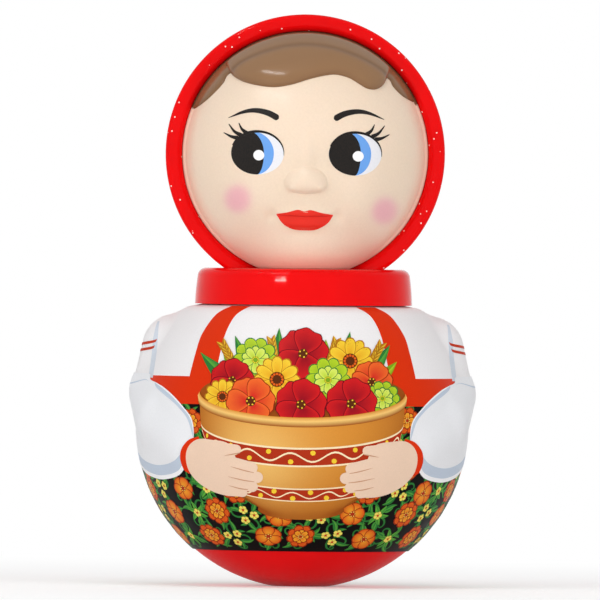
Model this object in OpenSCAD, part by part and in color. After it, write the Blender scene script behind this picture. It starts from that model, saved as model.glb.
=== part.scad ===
// Roly-poly doll: a weighted ball body with arms in relief, a hooded head and a chime inside.
// Millimetres. The origin is the middle of the flat sole, +Z is up and the face looks along -Y.

/* [Body] */
// Radius of the ball-shaped body
body_r = 60.5; // [51:0.5:70]
// Radius of the flat that the toy stands on
sole_r = 10.5; // [9:0.5:12]
// Wall of the body shell and of the base cup
body_wall = 2.8; // [2.4:0.1:3.2]
// Height of the seam between base cup and body shell
seam_h = 36; // [34:0.5:38]
// Length of the spigot that joins base cup and body shell
spigot_l = 6; // [4:0.5:7]
// Radius of the ball at the height of its flat top
top_ring_r = 42.1; // [40:0.1:44]
// Radius of the flat top
top_flat_r = 36; // [30:0.5:38]
// Drop of the slope from the flat top to the ball
top_drop = 1.6; // [1:0.1:2]
// Thickness of the top plate that the neck goes through
top_plate_t = 2.8; // [2.2:0.1:3.4]

/* [Arms] */
// Radius of the upper arm
arm_r = 11.7; // [10:0.1:13]
// How far the shoulder stands out of the ball
shoulder_rise = 5.6; // [4.5:0.1:6.5]
// Elevation of the shoulder seen from the middle of the ball, in degrees
shoulder_elevation = 30; // [27:1:32]
// How far the elbow stands out of the ball
elbow_rise = 3; // [2.6:0.1:3.8]
// Elevation of the elbow, in degrees
elbow_elevation = 12.5; // [10:0.5:15]
// How much thicker the sleeve puffs out below the elbow
sleeve_puff = 0.8; // [0.5:0.1:1.2]
// How far the wrist stands out of the ball
wrist_rise = 1.2; // [0.8:0.1:1.8]
// Elevation of the wrist, in degrees
wrist_elevation = -9; // [-11:0.5:-6]
// Turn of the wrist away from the front, in degrees
wrist_turn = 50; // [46:1:56]

/* [Printed film] */
// Thickness of the shrink film
film_t = 0.4; // [0.3:0.05:0.6]
// Height of its hem over the sole
hem_h = 13.3; // [11:0.1:18]

/* [Collar] */
// Height of the collar
collar_h = 13.6; // [12:0.2:16]
// Radius of the collar at its lower edge
collar_r = 39.9; // [38.5:0.1:41]
// How much narrower the collar is at its top
collar_taper = 0.8; // [0.4:0.1:1.6]
// Rounding of its upper edge
collar_round = 3.2; // [2.4:0.1:4]
// Wall of the collar
collar_wall = 2.2; // [1.8:0.1:2.6]
// Gap under the collar's outer skirt
collar_lift = 0.4; // [0.3:0.1:0.8]

/* [Head] */
// Radius of the rim round the face
rim_r = 51.3; // [43:0.1:60]
// Width of the rim
rim_band = 6.1; // [5.8:0.1:6.6]
// How far the rim reaches forward of the middle of the head
rim_front = 9; // [8:0.5:11]
// Depth of the rim in front of the hood's edge
rim_depth = 6; // [5:0.5:7]
// How far the rim's lip reaches back over the hood
rim_lip_l = 4; // [3:0.5:6]
// Thickness of that lip
rim_lip_t = 1.7; // [1.5:0.1:2]
// Rounding of the rim's outer front edge
rim_round = 1.6; // [1.2:0.1:2]
// Width and depth of the rim's inner bevel
rim_bevel = 2.4; // [2:0.1:3]
// Radius of the hood's foot, where the collar cuts it off
hood_foot_r = 26; // [24:0.5:29]
// Wall of the hood
hood_wall = 2; // [1.8:0.1:2.2]
// Wall of the face mask
face_wall = 2; // [1.6:0.1:2.2]
// Thickness of the mask's flange and of the hood's ledge behind it
flange_t = 2.4; // [2:0.1:2.8]
// How far the hair stands out of the face
hair_t = 1; // [0.6:0.1:1.4]
// How far the lips stand out of the face
lip_t = 1; // [0.6:0.1:1.4]
// Radius of the nose's tip
nose_r = 5.6; // [5:0.1:6]
// How far the nose stands out of the face
nose_rise = 3; // [2.6:0.1:3.4]

/* [Neck] */
// How far the neck tube lies inside the hood's foot
neck_inset = 1.5; // [1.2:0.1:1.8]
// Wall of the neck tube
neck_wall = 2.6; // [2.2:0.1:2.8]
// Length of the neck tube below the top plate
neck_tail = 6; // [5:0.5:8]
// Width of the key that stops the head from turning
key_w = 4; // [3:0.5:6]
// Height of that key
key_t = 1.4; // [1.2:0.1:1.8]
// Thickness of the spring clip
clip_t = 1.2; // [1:0.1:1.6]
// Depth of the clip's groove
clip_depth = 1; // [0.8:0.1:1.2]
// Width of the clip
clip_w = 4; // [3.2:0.2:5]
// Opening of the clip, in degrees
clip_gap_deg = 40; // [30:5:60]

/* [Weight and plate] */
// Height of the top of the weight over the sole
weight_top_h = 17; // [15:0.5:19]
// Radius of the circle that the posts stand on
post_circle_r = 28; // [27:0.5:30]
// Radius of a post
post_r = 4; // [3.6:0.1:4.6]
// Number of posts
post_count = 3; // [3:1:4]
// Gap round the chime plate
plate_gap = 1.8; // [1.2:0.1:2.6]
// Thickness of the chime plate
plate_t = 2; // [1.6:0.1:2.6]

/* [Chime] */
// Radius of a chime rod
rod_r = 1.25; // [1:0.05:1.5]
// Distance of a rod from the middle of its side
rod_spread = 5; // [4.4:0.1:6]
// Height of the shortest rod over the middle of the clapper ball
rod_over_ball = 6; // [4:0.5:8]
// Room between the longest rod and the height of the clapper's pin
rod_headroom = 1; // [1:0.5:6]
// Thickness of the chime block
block_t = 7; // [6:0.5:8]
// Edge of the block outside the rods
block_edge = 4.4; // [4:0.1:5]
// Radius of the hole in the block
block_hole_r = 9; // [8:0.5:10]

/* [Clapper] */
// Radius of the clapper ball
ball_r = 7; // [6:0.25:7.5]
// Travel of the ball from rest to either side
ball_travel = 6.5; // [5.5:0.25:7]
// Room between the clapper frame and the neck tube
frame_headroom = 4; // [3:0.5:8]
// Length of the swivel link between its two bores
link_l = 9; // [8.4:0.2:10]
// Width of the swivel link
link_w = 5.2; // [4.8:0.1:5.6]
// Radius of the pins
pin_r = 1.25; // [1.1:0.05:1.4]
// Thickness of the ears that hold the pins
ear_t = 2; // [1.6:0.1:2.4]
// Radius of the clapper's stem
stem_r = 1.5; // [1.2:0.1:1.8]
// Width of the frame's strip
strip_w = 8; // [7:0.5:10]
// Thickness of the frame's strip
strip_t = 2; // [1.6:0.1:2.4]
// Length of the frame's feet
foot_l = 10; // [9:0.5:10.5]

/* [Screws] */
// Radius of the screws' shanks
screw_r = 1.5; // [1.3:0.05:1.6]
// Radius of the screws' heads
screw_head_r = 3; // [2.6:0.1:3.2]
// Height of the screws' heads
screw_head_h = 2; // [1.6:0.1:2.4]
// Depth of the screws in the posts
screw_depth = 6; // [5:0.5:7]

/* [Fits] */
// Gap between parts that slide together on assembly
slip_gap = 0.15; // [0.1:0.05:0.25]
// Radial gap of a pin that turns in its bore
run_gap = 0.05; // [0.03:0.01:0.08]
// Radial gap of a pin or rod that is fixed in its bore
press_gap = 0.02; // [0.01:0.01:0.03]
// Gap left where parts pass or where the clapper stops
clear_gap = 0.4; // [0.3:0.05:0.6]
// Gap between the film and the ball
film_gap = 0.05; // [0.03:0.01:0.08]

/* [Hidden] */
$fn = 64;
// Overrun of a cut past the face that it goes through
cut = 1;
// Straight steps in a rounded edge
round_steps = 10;
// Number of chime rods, two on each side of a square
rod_count = 8;

// Heights of the stack from the sole to the hood
hood_r = rim_r - rim_lip_t - slip_gap;
head_lift = leg(hood_r, hood_foot_r);
ball_z = leg(body_r, sole_r);
top_rise = leg(body_r, top_ring_r);
top_z = ball_z + top_rise;
collar_top_z = top_z + collar_h;
head_z = collar_top_z + head_lift;
under_top_z = top_z - top_plate_t;
top_slope = atan2(top_drop, leg(body_r, top_rise - top_drop) - top_flat_r);

// Radii of the ball's inside and of the joint at the seam
ball_inner_r = body_r - body_wall;
seam_bore_r = leg(ball_inner_r, ball_z - seam_h);
spigot_r = seam_bore_r - slip_gap;

// Head: one round form inside the other
hood_inner_r = hood_r - hood_wall;
rim_inner_r = rim_r - rim_band;
face_r = rim_inner_r - clear_gap;
hood_front = rim_front - rim_depth;
ledge_front = hood_front - flange_t - slip_gap;

// Neck
neck_r = hood_foot_r - neck_inset;
neck_bore_r = neck_r - neck_wall;
neck_hole_r = neck_r + slip_gap;
neck_low_z = under_top_z - neck_tail;
clip_in_r = neck_r - clip_depth + slip_gap;
clip_top_z = under_top_z - slip_gap;

// Chime, between the chime block and the neck tube
ball_height_share = 0.36;
plate_r = leg(ball_inner_r, ball_z - weight_top_h) - plate_gap;
plate_z = weight_top_h + plate_t;
block_top_z = plate_z + block_t;
rod_line = ball_travel + ball_r + rod_r + clear_gap;
block_half = rod_line + block_edge;
frame_top_z = neck_low_z - frame_headroom;
frame_under_z = frame_top_z - strip_t;
hanger_pin_z = frame_under_z - link_w;
clapper_pin_z = hanger_pin_z - link_l;
clapper_ball_z = block_top_z + (clapper_pin_z - block_top_z) * ball_height_share;
rod_short_z = clapper_ball_z + rod_over_ball;
rod_step = (clapper_pin_z - rod_headroom - rod_short_z) / (rod_count - 1);
link_half = link_w / 2;
ear_in = link_half + clear_gap;
ear_out = ear_in + ear_t;
ear_end = pin_r + ear_t;
frame_in = block_half + strip_t;
frame_out = frame_in + strip_t;
foot_screw_x = frame_out + foot_l - screw_head_r - clear_gap;
sink = stem_r / 2;

// Shoulder and elbow lie straight at the side; the sleeve ends part of the way to the wrist
side_turn = 90;
sleeve_share = 0.5;

// Hair's lower edge, lips' outline, nose: shares of the face's radius, across and up
hairline_shares = [
    [-0.98, 0.30], [-0.74, 0.47], [-0.62, 0.64], [-0.52, 0.595], [-0.41, 0.56], [-0.26, 0.545],
    [-0.12, 0.57], [0.03, 0.61], [0.16, 0.645], [0.25, 0.65], [0.36, 0.62], [0.45, 0.57],
    [0.52, 0.53], [0.60, 0.53], [0.67, 0.56], [0.685, 0.59], [0.72, 0.53], [0.78, 0.475], [0.98, 0.36]];
lip_shares = [
    [-0.24, -0.535], [-0.13, -0.485], [-0.05, -0.46], [0, -0.475], [0.05, -0.46], [0.13, -0.485],
    [0.24, -0.535], [0.14, -0.60], [0.06, -0.625], [-0.06, -0.625], [-0.14, -0.60]];
nose_drop_share = 0.22;
nostril_share = 0.1;
nostril_drop_share = 0.26;
nostril_size_share = 0.7;

// Other leg of a right triangle
function leg(hypotenuse, other) = sqrt(pow(hypotenuse, 2) - pow(other, 2));

// Point at a distance from the middle of the ball; turn 0 is the front, positive to +X
function ball_point(dist, elevation, turn) = [0, 0, ball_z]
    + dist * [cos(elevation) * sin(turn), -cos(elevation) * cos(turn), sin(elevation)];

// Middle of the forearm at a share of the way from elbow to wrist
function forearm_point(side, way) = ball_point(
    body_r - arm_r + elbow_rise + (wrist_rise - elbow_rise) * way,
    elbow_elevation + (wrist_elevation - elbow_elevation) * way,
    side * (side_turn + (wrist_turn - side_turn) * way));

// Points of an arc round c
function arc_points(c, r, from, to) =
    [for (i = [0:round_steps]) let (a = from + (to - from) * i / round_steps) c + r * [cos(a), sin(a)]];

// Round-ended bar from p to q, turned as one solid
module capsule(p, q, r) {
    along = q - p;
    l = norm(along);
    translate(p)
        rotate([0, acos(along.z / l), atan2(along.y, along.x)])
            rotate_extrude()
                polygon(concat(arc_points([0, 0], r, -90, 0), arc_points([0, l], r, 0, 90)));
}

// Ring of a rectangular section about Z
module ring(r_in, r_out, z_low, z_high) {
    translate([0, 0, z_low])
        difference() {
            cylinder(r = r_out, h = z_high - z_low);
            translate([0, 0, -cut])
                cylinder(r = r_in, h = z_high - z_low + 2 * cut);
        }
}

// Disc about Z between two heights
module slab_disc(r, z_low, z_high) {
    translate([0, 0, z_low])
        cylinder(r = r, h = z_high - z_low);
}

// Everything between two heights, wider than the toy
module slab(z_low, z_high) {
    slab_disc(2 * body_r, z_low, z_high);
}

module at_posts() {
    for (i = [0:post_count - 1])
        rotate([0, 0, i * 360 / post_count - 90])
            translate([post_circle_r, 0, 0])
                children();
}

// One arm, from shoulder to wrist, grown by g
module arm(side, g) {
    shoulder = ball_point(body_r - arm_r + shoulder_rise, shoulder_elevation, side * side_turn);
    elbow = forearm_point(side, 0);
    sleeve_end = forearm_point(side, sleeve_share);
    wrist = forearm_point(side, 1);
    capsule(elbow, shoulder, arm_r + g);
    capsule(sleeve_end, elbow, arm_r + sleeve_puff + g);
    capsule(wrist, sleeve_end, arm_r + g);
}

// Ball with both arms, grown by g and cut off at the sloping top
module body_form(g) {
    reach = 2 * body_r;
    intersection() {
        union() {
            translate([0, 0, ball_z])
                sphere(r = body_r + g);
            arm(-1, g);
            arm(1, g);
        }
        rotate_extrude()
            polygon([
                [0, -cut],
                [reach, -cut],
                [reach, top_z + g - (reach - top_flat_r) * tan(top_slope)],
                [top_flat_r, top_z + g],
                [0, top_z + g]]);
    }
}

module base_cup() {
    color("#cf1b1e")
        difference() {
            union() {
                difference() {
                    intersection() {
                        translate([0, 0, ball_z])
                            sphere(r = body_r);
                        slab(0, seam_h);
                    }
                    translate([0, 0, ball_z])
                        sphere(r = ball_inner_r);
                }
                rotate_extrude()
                    polygon([
                        [spigot_r - body_wall, seam_h - spigot_l],
                        [seam_bore_r + slip_gap, seam_h - spigot_l],
                        [seam_bore_r + slip_gap, seam_h],
                        [spigot_r, seam_h],
                        [spigot_r, seam_h + spigot_l],
                        [spigot_r - body_wall, seam_h + spigot_l]]);
                intersection() {
                    at_posts()
                        cylinder(r = post_r, h = weight_top_h - slip_gap);
                    translate([0, 0, ball_z])
                        sphere(r = body_r - body_wall / 2);
                }
            }
            at_posts()
                slab_disc(screw_r + press_gap, weight_top_h - screw_depth - clear_gap, weight_top_h + cut);
        }
}

module ballast_weight() {
    color("dimgray")
        difference() {
            intersection() {
                translate([0, 0, ball_z])
                    sphere(r = ball_inner_r - slip_gap);
                slab(0, weight_top_h);
            }
            at_posts()
                translate([0, 0, -cut])
                    cylinder(r = post_r + clear_gap, h = weight_top_h + 2 * cut);
        }
}

module screw(depth) {
    translate([0, 0, -depth])
        cylinder(r = screw_r, h = depth);
    cylinder(r = screw_head_r, h = screw_head_h);
}

module at_block_corners() {
    for (x = [-1, 1], y = [-1, 1])
        translate([x, y, 0] * (rod_line - rod_r))
            children();
}

module at_feet() {
    for (side = [-1, 1])
        translate([side * foot_screw_x, 0, 0])
            children();
}

module chime_plate() {
    color("silver")
        difference() {
            slab_disc(plate_r, weight_top_h, plate_z);
            at_posts()
                plate_hole(screw_r + slip_gap);
            at_block_corners()
                plate_hole(screw_r + press_gap);
            at_feet()
                plate_hole(screw_r + press_gap);
        }
}

module plate_hole(r) {
    slab_disc(r, weight_top_h - cut, plate_z + cut);
}

module plate_screws() {
    color("lightgray")
        at_posts()
            translate([0, 0, plate_z])
                screw(plate_t + screw_depth);
}

module chime_block() {
    color("goldenrod")
        difference() {
            translate([-block_half, -block_half, plate_z])
                cube([2 * block_half, 2 * block_half, block_t]);
            slab_disc(block_hole_r, plate_z - cut, block_top_z + cut);
            at_block_corners()
                slab_disc(screw_r + slip_gap, plate_z - cut, block_top_z + cut);
            for (i = [0:rod_count - 1])
                at_rod(i)
                    slab_disc(rod_r + press_gap, plate_z - cut, block_top_z + cut);
        }
}

module block_screws() {
    color("lightgray")
        at_block_corners()
            translate([0, 0, block_top_z])
                screw(block_t + plate_t);
}

// Two rods on each side of a square, so that a ball that travels in a square clears them all
module at_rod(i) {
    rotate([0, 0, 90 * floor(i / 2)])
        translate([rod_line, (i % 2 == 0 ? -1 : 1) * rod_spread, 0])
            children();
}

module chime_rod(i) {
    color("gainsboro")
        at_rod(i)
            slab_disc(rod_r, plate_z, rod_short_z + rod_step * i);
}

// Ear of a fork on one side of a pin along X, from its root up or down to its rounded end
module ear(side, pin_z, root_z) {
    x_low = side > 0 ? ear_in : -ear_out;
    translate([x_low, 0, pin_z])
        rotate([0, 90, 0])
            cylinder(r = ear_end, h = ear_t);
    translate([x_low, -ear_end, min(pin_z, root_z)])
        cube([ear_t, 2 * ear_end, abs(root_z - pin_z)]);
}

// Bore along X
module cross_bore(r, z) {
    translate([-ear_out - cut, 0, z])
        rotate([0, 90, 0])
            cylinder(r = r, h = 2 * (ear_out + cut));
}

module clapper_frame() {
    color("slategray")
        difference() {
            union() {
                translate([-frame_out, -strip_w / 2, frame_under_z])
                    cube([2 * frame_out, strip_w, strip_t]);
                for (side = [-1, 1]) {
                    translate([side > 0 ? frame_in : -frame_out, -strip_w / 2, plate_z])
                        cube([strip_t, strip_w, frame_under_z - plate_z + strip_t]);
                    translate([side > 0 ? frame_in : -frame_out - foot_l, -strip_w / 2, plate_z])
                        cube([foot_l + strip_t, strip_w, strip_t]);
                    ear(side, hanger_pin_z, frame_under_z + sink);
                }
            }
            cross_bore(pin_r + press_gap, hanger_pin_z);
            at_feet()
                slab_disc(screw_r + slip_gap, plate_z - cut, plate_z + strip_t + cut);
        }
}

module frame_screws() {
    color("lightgray")
        at_feet()
            translate([0, 0, plate_z + strip_t])
                screw(strip_t + plate_t);
}

module pin(z) {
    translate([-ear_out - clear_gap, 0, z])
        rotate([0, 90, 0])
            cylinder(r = pin_r, h = 2 * (ear_out + clear_gap));
}

module hanger_pin() {
    color("lightgray")
        pin(hanger_pin_z);
}

module swivel_link() {
    color("darkorange")
        difference() {
            union() {
                translate([-link_half, -link_half, clapper_pin_z])
                    cube([link_w, link_w, link_l]);
                translate([-link_half, 0, hanger_pin_z])
                    rotate([0, 90, 0])
                        cylinder(r = link_half, h = link_w);
                translate([0, link_half, clapper_pin_z])
                    rotate([90, 0, 0])
                        cylinder(r = link_half, h = link_w);
            }
            cross_bore(pin_r + run_gap, hanger_pin_z);
            rotate([0, 0, 90])
                cross_bore(pin_r + run_gap, clapper_pin_z);
        }
}

module clapper_pin() {
    color("lightgray")
        rotate([0, 0, 90])
            pin(clapper_pin_z);
}

module clapper_rod() {
    bridge_z = clapper_pin_z - link_half - 2 * clear_gap - ear_t;
    color("darkgray") {
        difference() {
            rotate([0, 0, 90])
                for (side = [-1, 1])
                    ear(side, clapper_pin_z, bridge_z);
            rotate([0, 0, 90])
                cross_bore(pin_r + press_gap, clapper_pin_z);
        }
        translate([-ear_end, -ear_out, bridge_z])
            cube([2 * ear_end, 2 * ear_out, ear_t]);
        slab_disc(stem_r, clapper_ball_z, bridge_z + sink);
    }
}

module clapper_ball() {
    color("silver")
        difference() {
            translate([0, 0, clapper_ball_z])
                sphere(r = ball_r);
            slab_disc(stem_r + press_gap, clapper_ball_z - press_gap, clapper_ball_z + ball_r + cut);
        }
}

module neck_key(gap) {
    translate([-key_w / 2 - gap, 0, under_top_z])
        cube([key_w + 2 * gap, neck_r + key_t + gap, collar_top_z - under_top_z]);
}

module body_shell() {
    color("whitesmoke")
        difference() {
            body_form(0);
            slab(-cut, seam_h);
            intersection() {
                union() {
                    translate([0, 0, ball_z])
                        sphere(r = ball_inner_r);
                    arm(-1, -body_wall);
                    arm(1, -body_wall);
                }
                slab(seam_h + spigot_l + slip_gap, under_top_z);
            }
            slab_disc(seam_bore_r, seam_h - cut, seam_h + spigot_l + 2 * slip_gap);
            slab_disc(neck_hole_r, under_top_z - cut, top_z + cut);
            neck_key(slip_gap);
        }
}

module printed_sleeve() {
    color("white")
        difference() {
            body_form(film_gap + film_t);
            body_form(film_gap);
            slab(-cut, hem_h);
            slab_disc(top_flat_r, top_z - cut, top_z + cut);
        }
}

module collar() {
    top_r = collar_r - collar_taper;
    inner_r = neck_hole_r + collar_wall;
    roof_z = collar_top_z - collar_wall;
    color("#f41c1e")
        difference() {
            rotate_extrude()
                polygon(concat(
                    [[neck_hole_r, top_z],
                     [inner_r, top_z],
                     [inner_r, roof_z],
                     [top_r - collar_wall, roof_z],
                     [collar_r - collar_wall, top_z + collar_lift],
                     [collar_r, top_z + collar_lift]],
                    arc_points([top_r - collar_round, collar_top_z - collar_round], collar_round, 0, 90),
                    [[neck_hole_r, collar_top_z]]));
            neck_key(slip_gap);
        }
}

module neck_clip() {
    color("lightgray")
        rotate([0, 0, clip_gap_deg / 2 - 90])
            rotate_extrude(angle = 360 - clip_gap_deg)
                translate([clip_in_r, clip_top_z - clip_t])
                    square([clip_w, clip_t]);
}

// Places children so that their Z axis points out of the face, and cuts them off at the collar
module head_part() {
    difference() {
        translate([0, 0, head_z])
            rotate([90, 0, 0])
                children();
        slab(-cut, collar_top_z);
    }
}

// Part of a ball about the middle of the head in front of a plane
module front_of(r, depth) {
    intersection() {
        sphere(r = r);
        translate([0, 0, depth])
            cylinder(r = 2 * rim_r, h = 2 * rim_r);
    }
}

module hood_shell() {
    color("#e01a1c") {
        head_part()
            difference() {
                sphere(r = hood_r);
                difference() {
                    sphere(r = hood_inner_r);
                    ring(face_r, hood_r, ledge_front - flange_t, ledge_front);
                }
                translate([0, 0, hood_front])
                    cylinder(r = rim_r, h = rim_r);
            }
        neck_tube();
    }
}

// Tube that goes down through collar and top plate, rooted in the rear of the hood
module neck_tube() {
    root_z = collar_top_z + hood_wall;
    difference() {
        union() {
            slab_disc(neck_r, neck_low_z, collar_top_z);
            intersection() {
                slab_disc(neck_r, collar_top_z, root_z);
                translate([-rim_r, hood_front, 0])
                    cube([2 * rim_r, rim_r, root_z]);
            }
            neck_key(0);
        }
        slab_disc(neck_bore_r, neck_low_z - cut, root_z + cut);
        ring(neck_r - clip_depth, neck_r + cut, clip_top_z - clip_t - slip_gap, clip_top_z + slip_gap);
    }
}

module hood_rim() {
    rear = hood_front - rim_lip_l;
    color("#f41c1e")
        head_part()
            rotate_extrude()
                polygon(concat(
                    [[hood_r + slip_gap, rear],
                     [rim_r, rear]],
                    arc_points([rim_r - rim_round, rim_front - rim_round], rim_round, 0, 90),
                    arc_points([rim_inner_r + rim_bevel, rim_front - rim_bevel], rim_bevel, 90, 180),
                    [[rim_inner_r, hood_front + slip_gap],
                     [hood_r + slip_gap, hood_front + slip_gap]]));
}

// Raised area of the face inside an outline, standing out by t
module relief(outline, t) {
    intersection() {
        sphere(r = face_r + t);
        translate([0, 0, rim_front])
            linear_extrude(height = rim_r)
                polygon(outline * face_r);
    }
}

module face_mask() {
    nose_out = face_r + nose_rise - nose_r;
    nostril_r = nose_r * nostril_size_share;
    color("#f5e1c8")
        head_part()
            difference() {
                union() {
                    front_of(face_r, ledge_front + slip_gap);
                    slab_disc(hood_inner_r - slip_gap, ledge_front + slip_gap, hood_front);
                    intersection() {
                        relief(concat(hairline_shares, [[1, 1], [-1, 1]]), hair_t);
                        cylinder(r = rim_inner_r - clear_gap, h = 2 * rim_r);
                    }
                    relief(lip_shares, lip_t);
                    rotate([asin(nose_drop_share), 0, 0])
                        translate([0, 0, nose_out])
                            sphere(r = nose_r);
                    for (side = [-1, 1])
                        rotate([asin(nostril_drop_share), side * asin(nostril_share), 0])
                            translate([0, 0, face_r - nostril_r / 2])
                                sphere(r = nostril_r);
                }
                sphere(r = face_r - face_wall);
            }
}

base_cup();
ballast_weight();
chime_plate();
plate_screws();
chime_block();
block_screws();
for (i = [0:rod_count - 1])
    chime_rod(i);
clapper_frame();
frame_screws();
hanger_pin();
swivel_link();
clapper_pin();
clapper_rod();
clapper_ball();
body_shell();
printed_sleeve();
collar();
neck_clip();
hood_shell();
hood_rim();
face_mask();
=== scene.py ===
"""Roly-poly doll: printed film, painted face, moulded hood and the chime inside.

Sizes are in millimetres and become metres as a mesh is made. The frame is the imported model's: the origin is the
middle of the flat sole, +Z is up, the face looks along -Y and +X is on the right of the picture.
"""

import logging
import math
import random
from dataclasses import dataclass, field, replace
from enum import Enum
from typing import Any, Callable, Sequence

import bpy
import numpy as np
from mathutils import Matrix, Vector

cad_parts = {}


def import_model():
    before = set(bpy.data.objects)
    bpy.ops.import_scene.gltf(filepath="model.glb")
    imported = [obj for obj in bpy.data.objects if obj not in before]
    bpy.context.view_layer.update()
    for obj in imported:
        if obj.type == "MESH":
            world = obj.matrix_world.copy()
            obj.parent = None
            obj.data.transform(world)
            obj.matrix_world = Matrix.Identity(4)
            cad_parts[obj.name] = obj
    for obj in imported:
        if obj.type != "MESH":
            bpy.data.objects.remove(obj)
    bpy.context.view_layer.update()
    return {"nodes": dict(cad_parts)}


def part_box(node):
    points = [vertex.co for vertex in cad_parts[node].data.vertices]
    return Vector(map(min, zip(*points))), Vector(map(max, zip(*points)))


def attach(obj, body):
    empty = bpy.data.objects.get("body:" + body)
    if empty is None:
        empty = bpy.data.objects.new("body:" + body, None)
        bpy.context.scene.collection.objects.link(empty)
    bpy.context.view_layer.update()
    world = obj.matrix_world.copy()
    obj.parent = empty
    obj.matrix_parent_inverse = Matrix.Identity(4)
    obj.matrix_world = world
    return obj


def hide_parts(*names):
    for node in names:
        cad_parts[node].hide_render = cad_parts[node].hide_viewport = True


LOG = logging.getLogger("doll")

MM = 0.001
INK_ATTRIBUTE = "ink"

Array = np.ndarray
Pair = tuple[float, float]
Triple = tuple[float, float, float]
Points = tuple[Pair, ...]
Tree = bpy.types.NodeTree
Node = bpy.types.Node
Piece = bpy.types.Object
Pieces = list[Piece]
Rays = tuple[Array, Array]
Lay = Callable[[Array], Rays]


def linear(code: str) -> tuple[float, float, float, float]:
    """Turns an sRGB hex value into linear light.

    Args:
        code: Colour such as "#f41c1e".

    Returns:
        Red, green and blue in linear light, and an alpha of 1.
    """
    channels = [int(code[i:i + 2], 16) / 255 for i in (1, 3, 5)]
    light = [c / 12.92 if c <= 0.04045 else ((c + 0.055) / 1.055) ** 2.4 for c in channels]
    return (light[0], light[1], light[2], 1.0)


def pattern_scale(size: float) -> float:
    """Gives a texture's scale from the real size of its pattern in millimetres."""
    return 1 / (size * MM)


def add_node(
    tree: Tree,
    kind: str,
    settings: dict[Any, Any] | None = None,
    links: dict[Any, bpy.types.NodeSocket] | None = None,
) -> Node:
    """Adds a node with its settings and links.

    Args:
        tree: Node tree that takes the node.
        kind: Type of the node.
        settings: Values by the name of a property, or by the name or number of an input.
        links: Output sockets by the name or number of the input that they feed.

    Returns:
        The new node.
    """
    node = tree.nodes.new(kind)
    for name, value in (settings or {}).items():
        if isinstance(name, str) and hasattr(node, name):
            setattr(node, name, value)
        else:
            node.inputs[name].default_value = value
    for name, socket in (links or {}).items():
        tree.links.new(socket, node.inputs[name])
    return node


class Ink(Enum):
    """Colours of the film's print and of the paint on the face."""

    HOOD_RED = "#f40a0d"
    FILM_WHITE = "#f4f2f3"
    SKIRT_BLACK = "#060505"
    DRESS_RED = "#e0340c"
    STRIPE_RED = "#c63e26"
    SLEEVE_WHITE = "#f2f3f6"
    SLEEVE_EDGE = "#fbfbfd"
    SLEEVE_SHADE = "#c6d2e2"
    ARMHOLE_SHADE = "#d6dee9"
    HAND = "#f2d3ba"
    HAND_LINE = "#cf9c7c"
    PETAL_ORANGE = "#e2601c"
    PETAL_GOLD = "#f5b232"
    PETAL_RED = "#c8401a"
    PETAL_RUST = "#9c2d10"
    HEART_RED = "#b2341a"
    POSY_YELLOW = "#f6e468"
    LEAF_GREEN = "#2c7a36"
    LEAF_LIGHT = "#5fae3e"
    LEAF_DEEP = "#14481f"
    BOWL_LIGHT = "#f7ca76"
    BOWL_TAN = "#dd9238"
    BOWL_BROWN = "#9c4f17"
    BOWL_INSIDE = "#7a3a12"
    BOWL_CREAM = "#fdeac0"
    POPPY_RED = "#d21f22"
    POPPY_DEEP = "#8d1020"
    POPPY_SHADE = "#6e0d1a"
    POPPY_ORANGE = "#ef6a2c"
    DAISY_YELLOW = "#f7d03a"
    DAISY_GOLD = "#e59b1b"
    DAISY_DEEP = "#b8741a"
    LIME = "#b7d32c"
    LIME_PALE = "#dcea6a"
    LIME_DEEP = "#7da51f"
    SEED_BROWN = "#5b2c10"
    SKIN = "#f6dfc7"
    BLUSH = "#f2aebb"
    HAIR = "#95704e"
    # Darker hair brown, used as painted shade
    HAIR_SHADE = "#745338"
    EYE_BLACK = "#121110"
    IRIS_BLUE = "#6ea8f0"
    EYE_WHITE = "#f1f1f6"
    GLINT = "#ffffff"
    LIP_RED = "#ee2f22"
    LIP_DEEP = "#d3221b"

    @property
    def light(self) -> Array:
        """The colour in linear light."""
        return np.array(linear(self.value)[:3])


def mix(first: Array, second: Array, share: Array | float) -> Array:
    """Blends two colours, point by point.

    Args:
        first: Colour where the share is 0.
        second: Colour where the share is 1.
        share: Share of the second colour, for one point or many.

    Returns:
        Colour for each share.
    """
    amount = np.clip(np.asarray(share, float), 0, 1)[..., None]
    return first * (1 - amount) + second * amount


# Middle of a noise pattern, where nearly all of its values lie
MARK_RANGE = {"From Min": 0.3, "From Max": 0.7}


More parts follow.
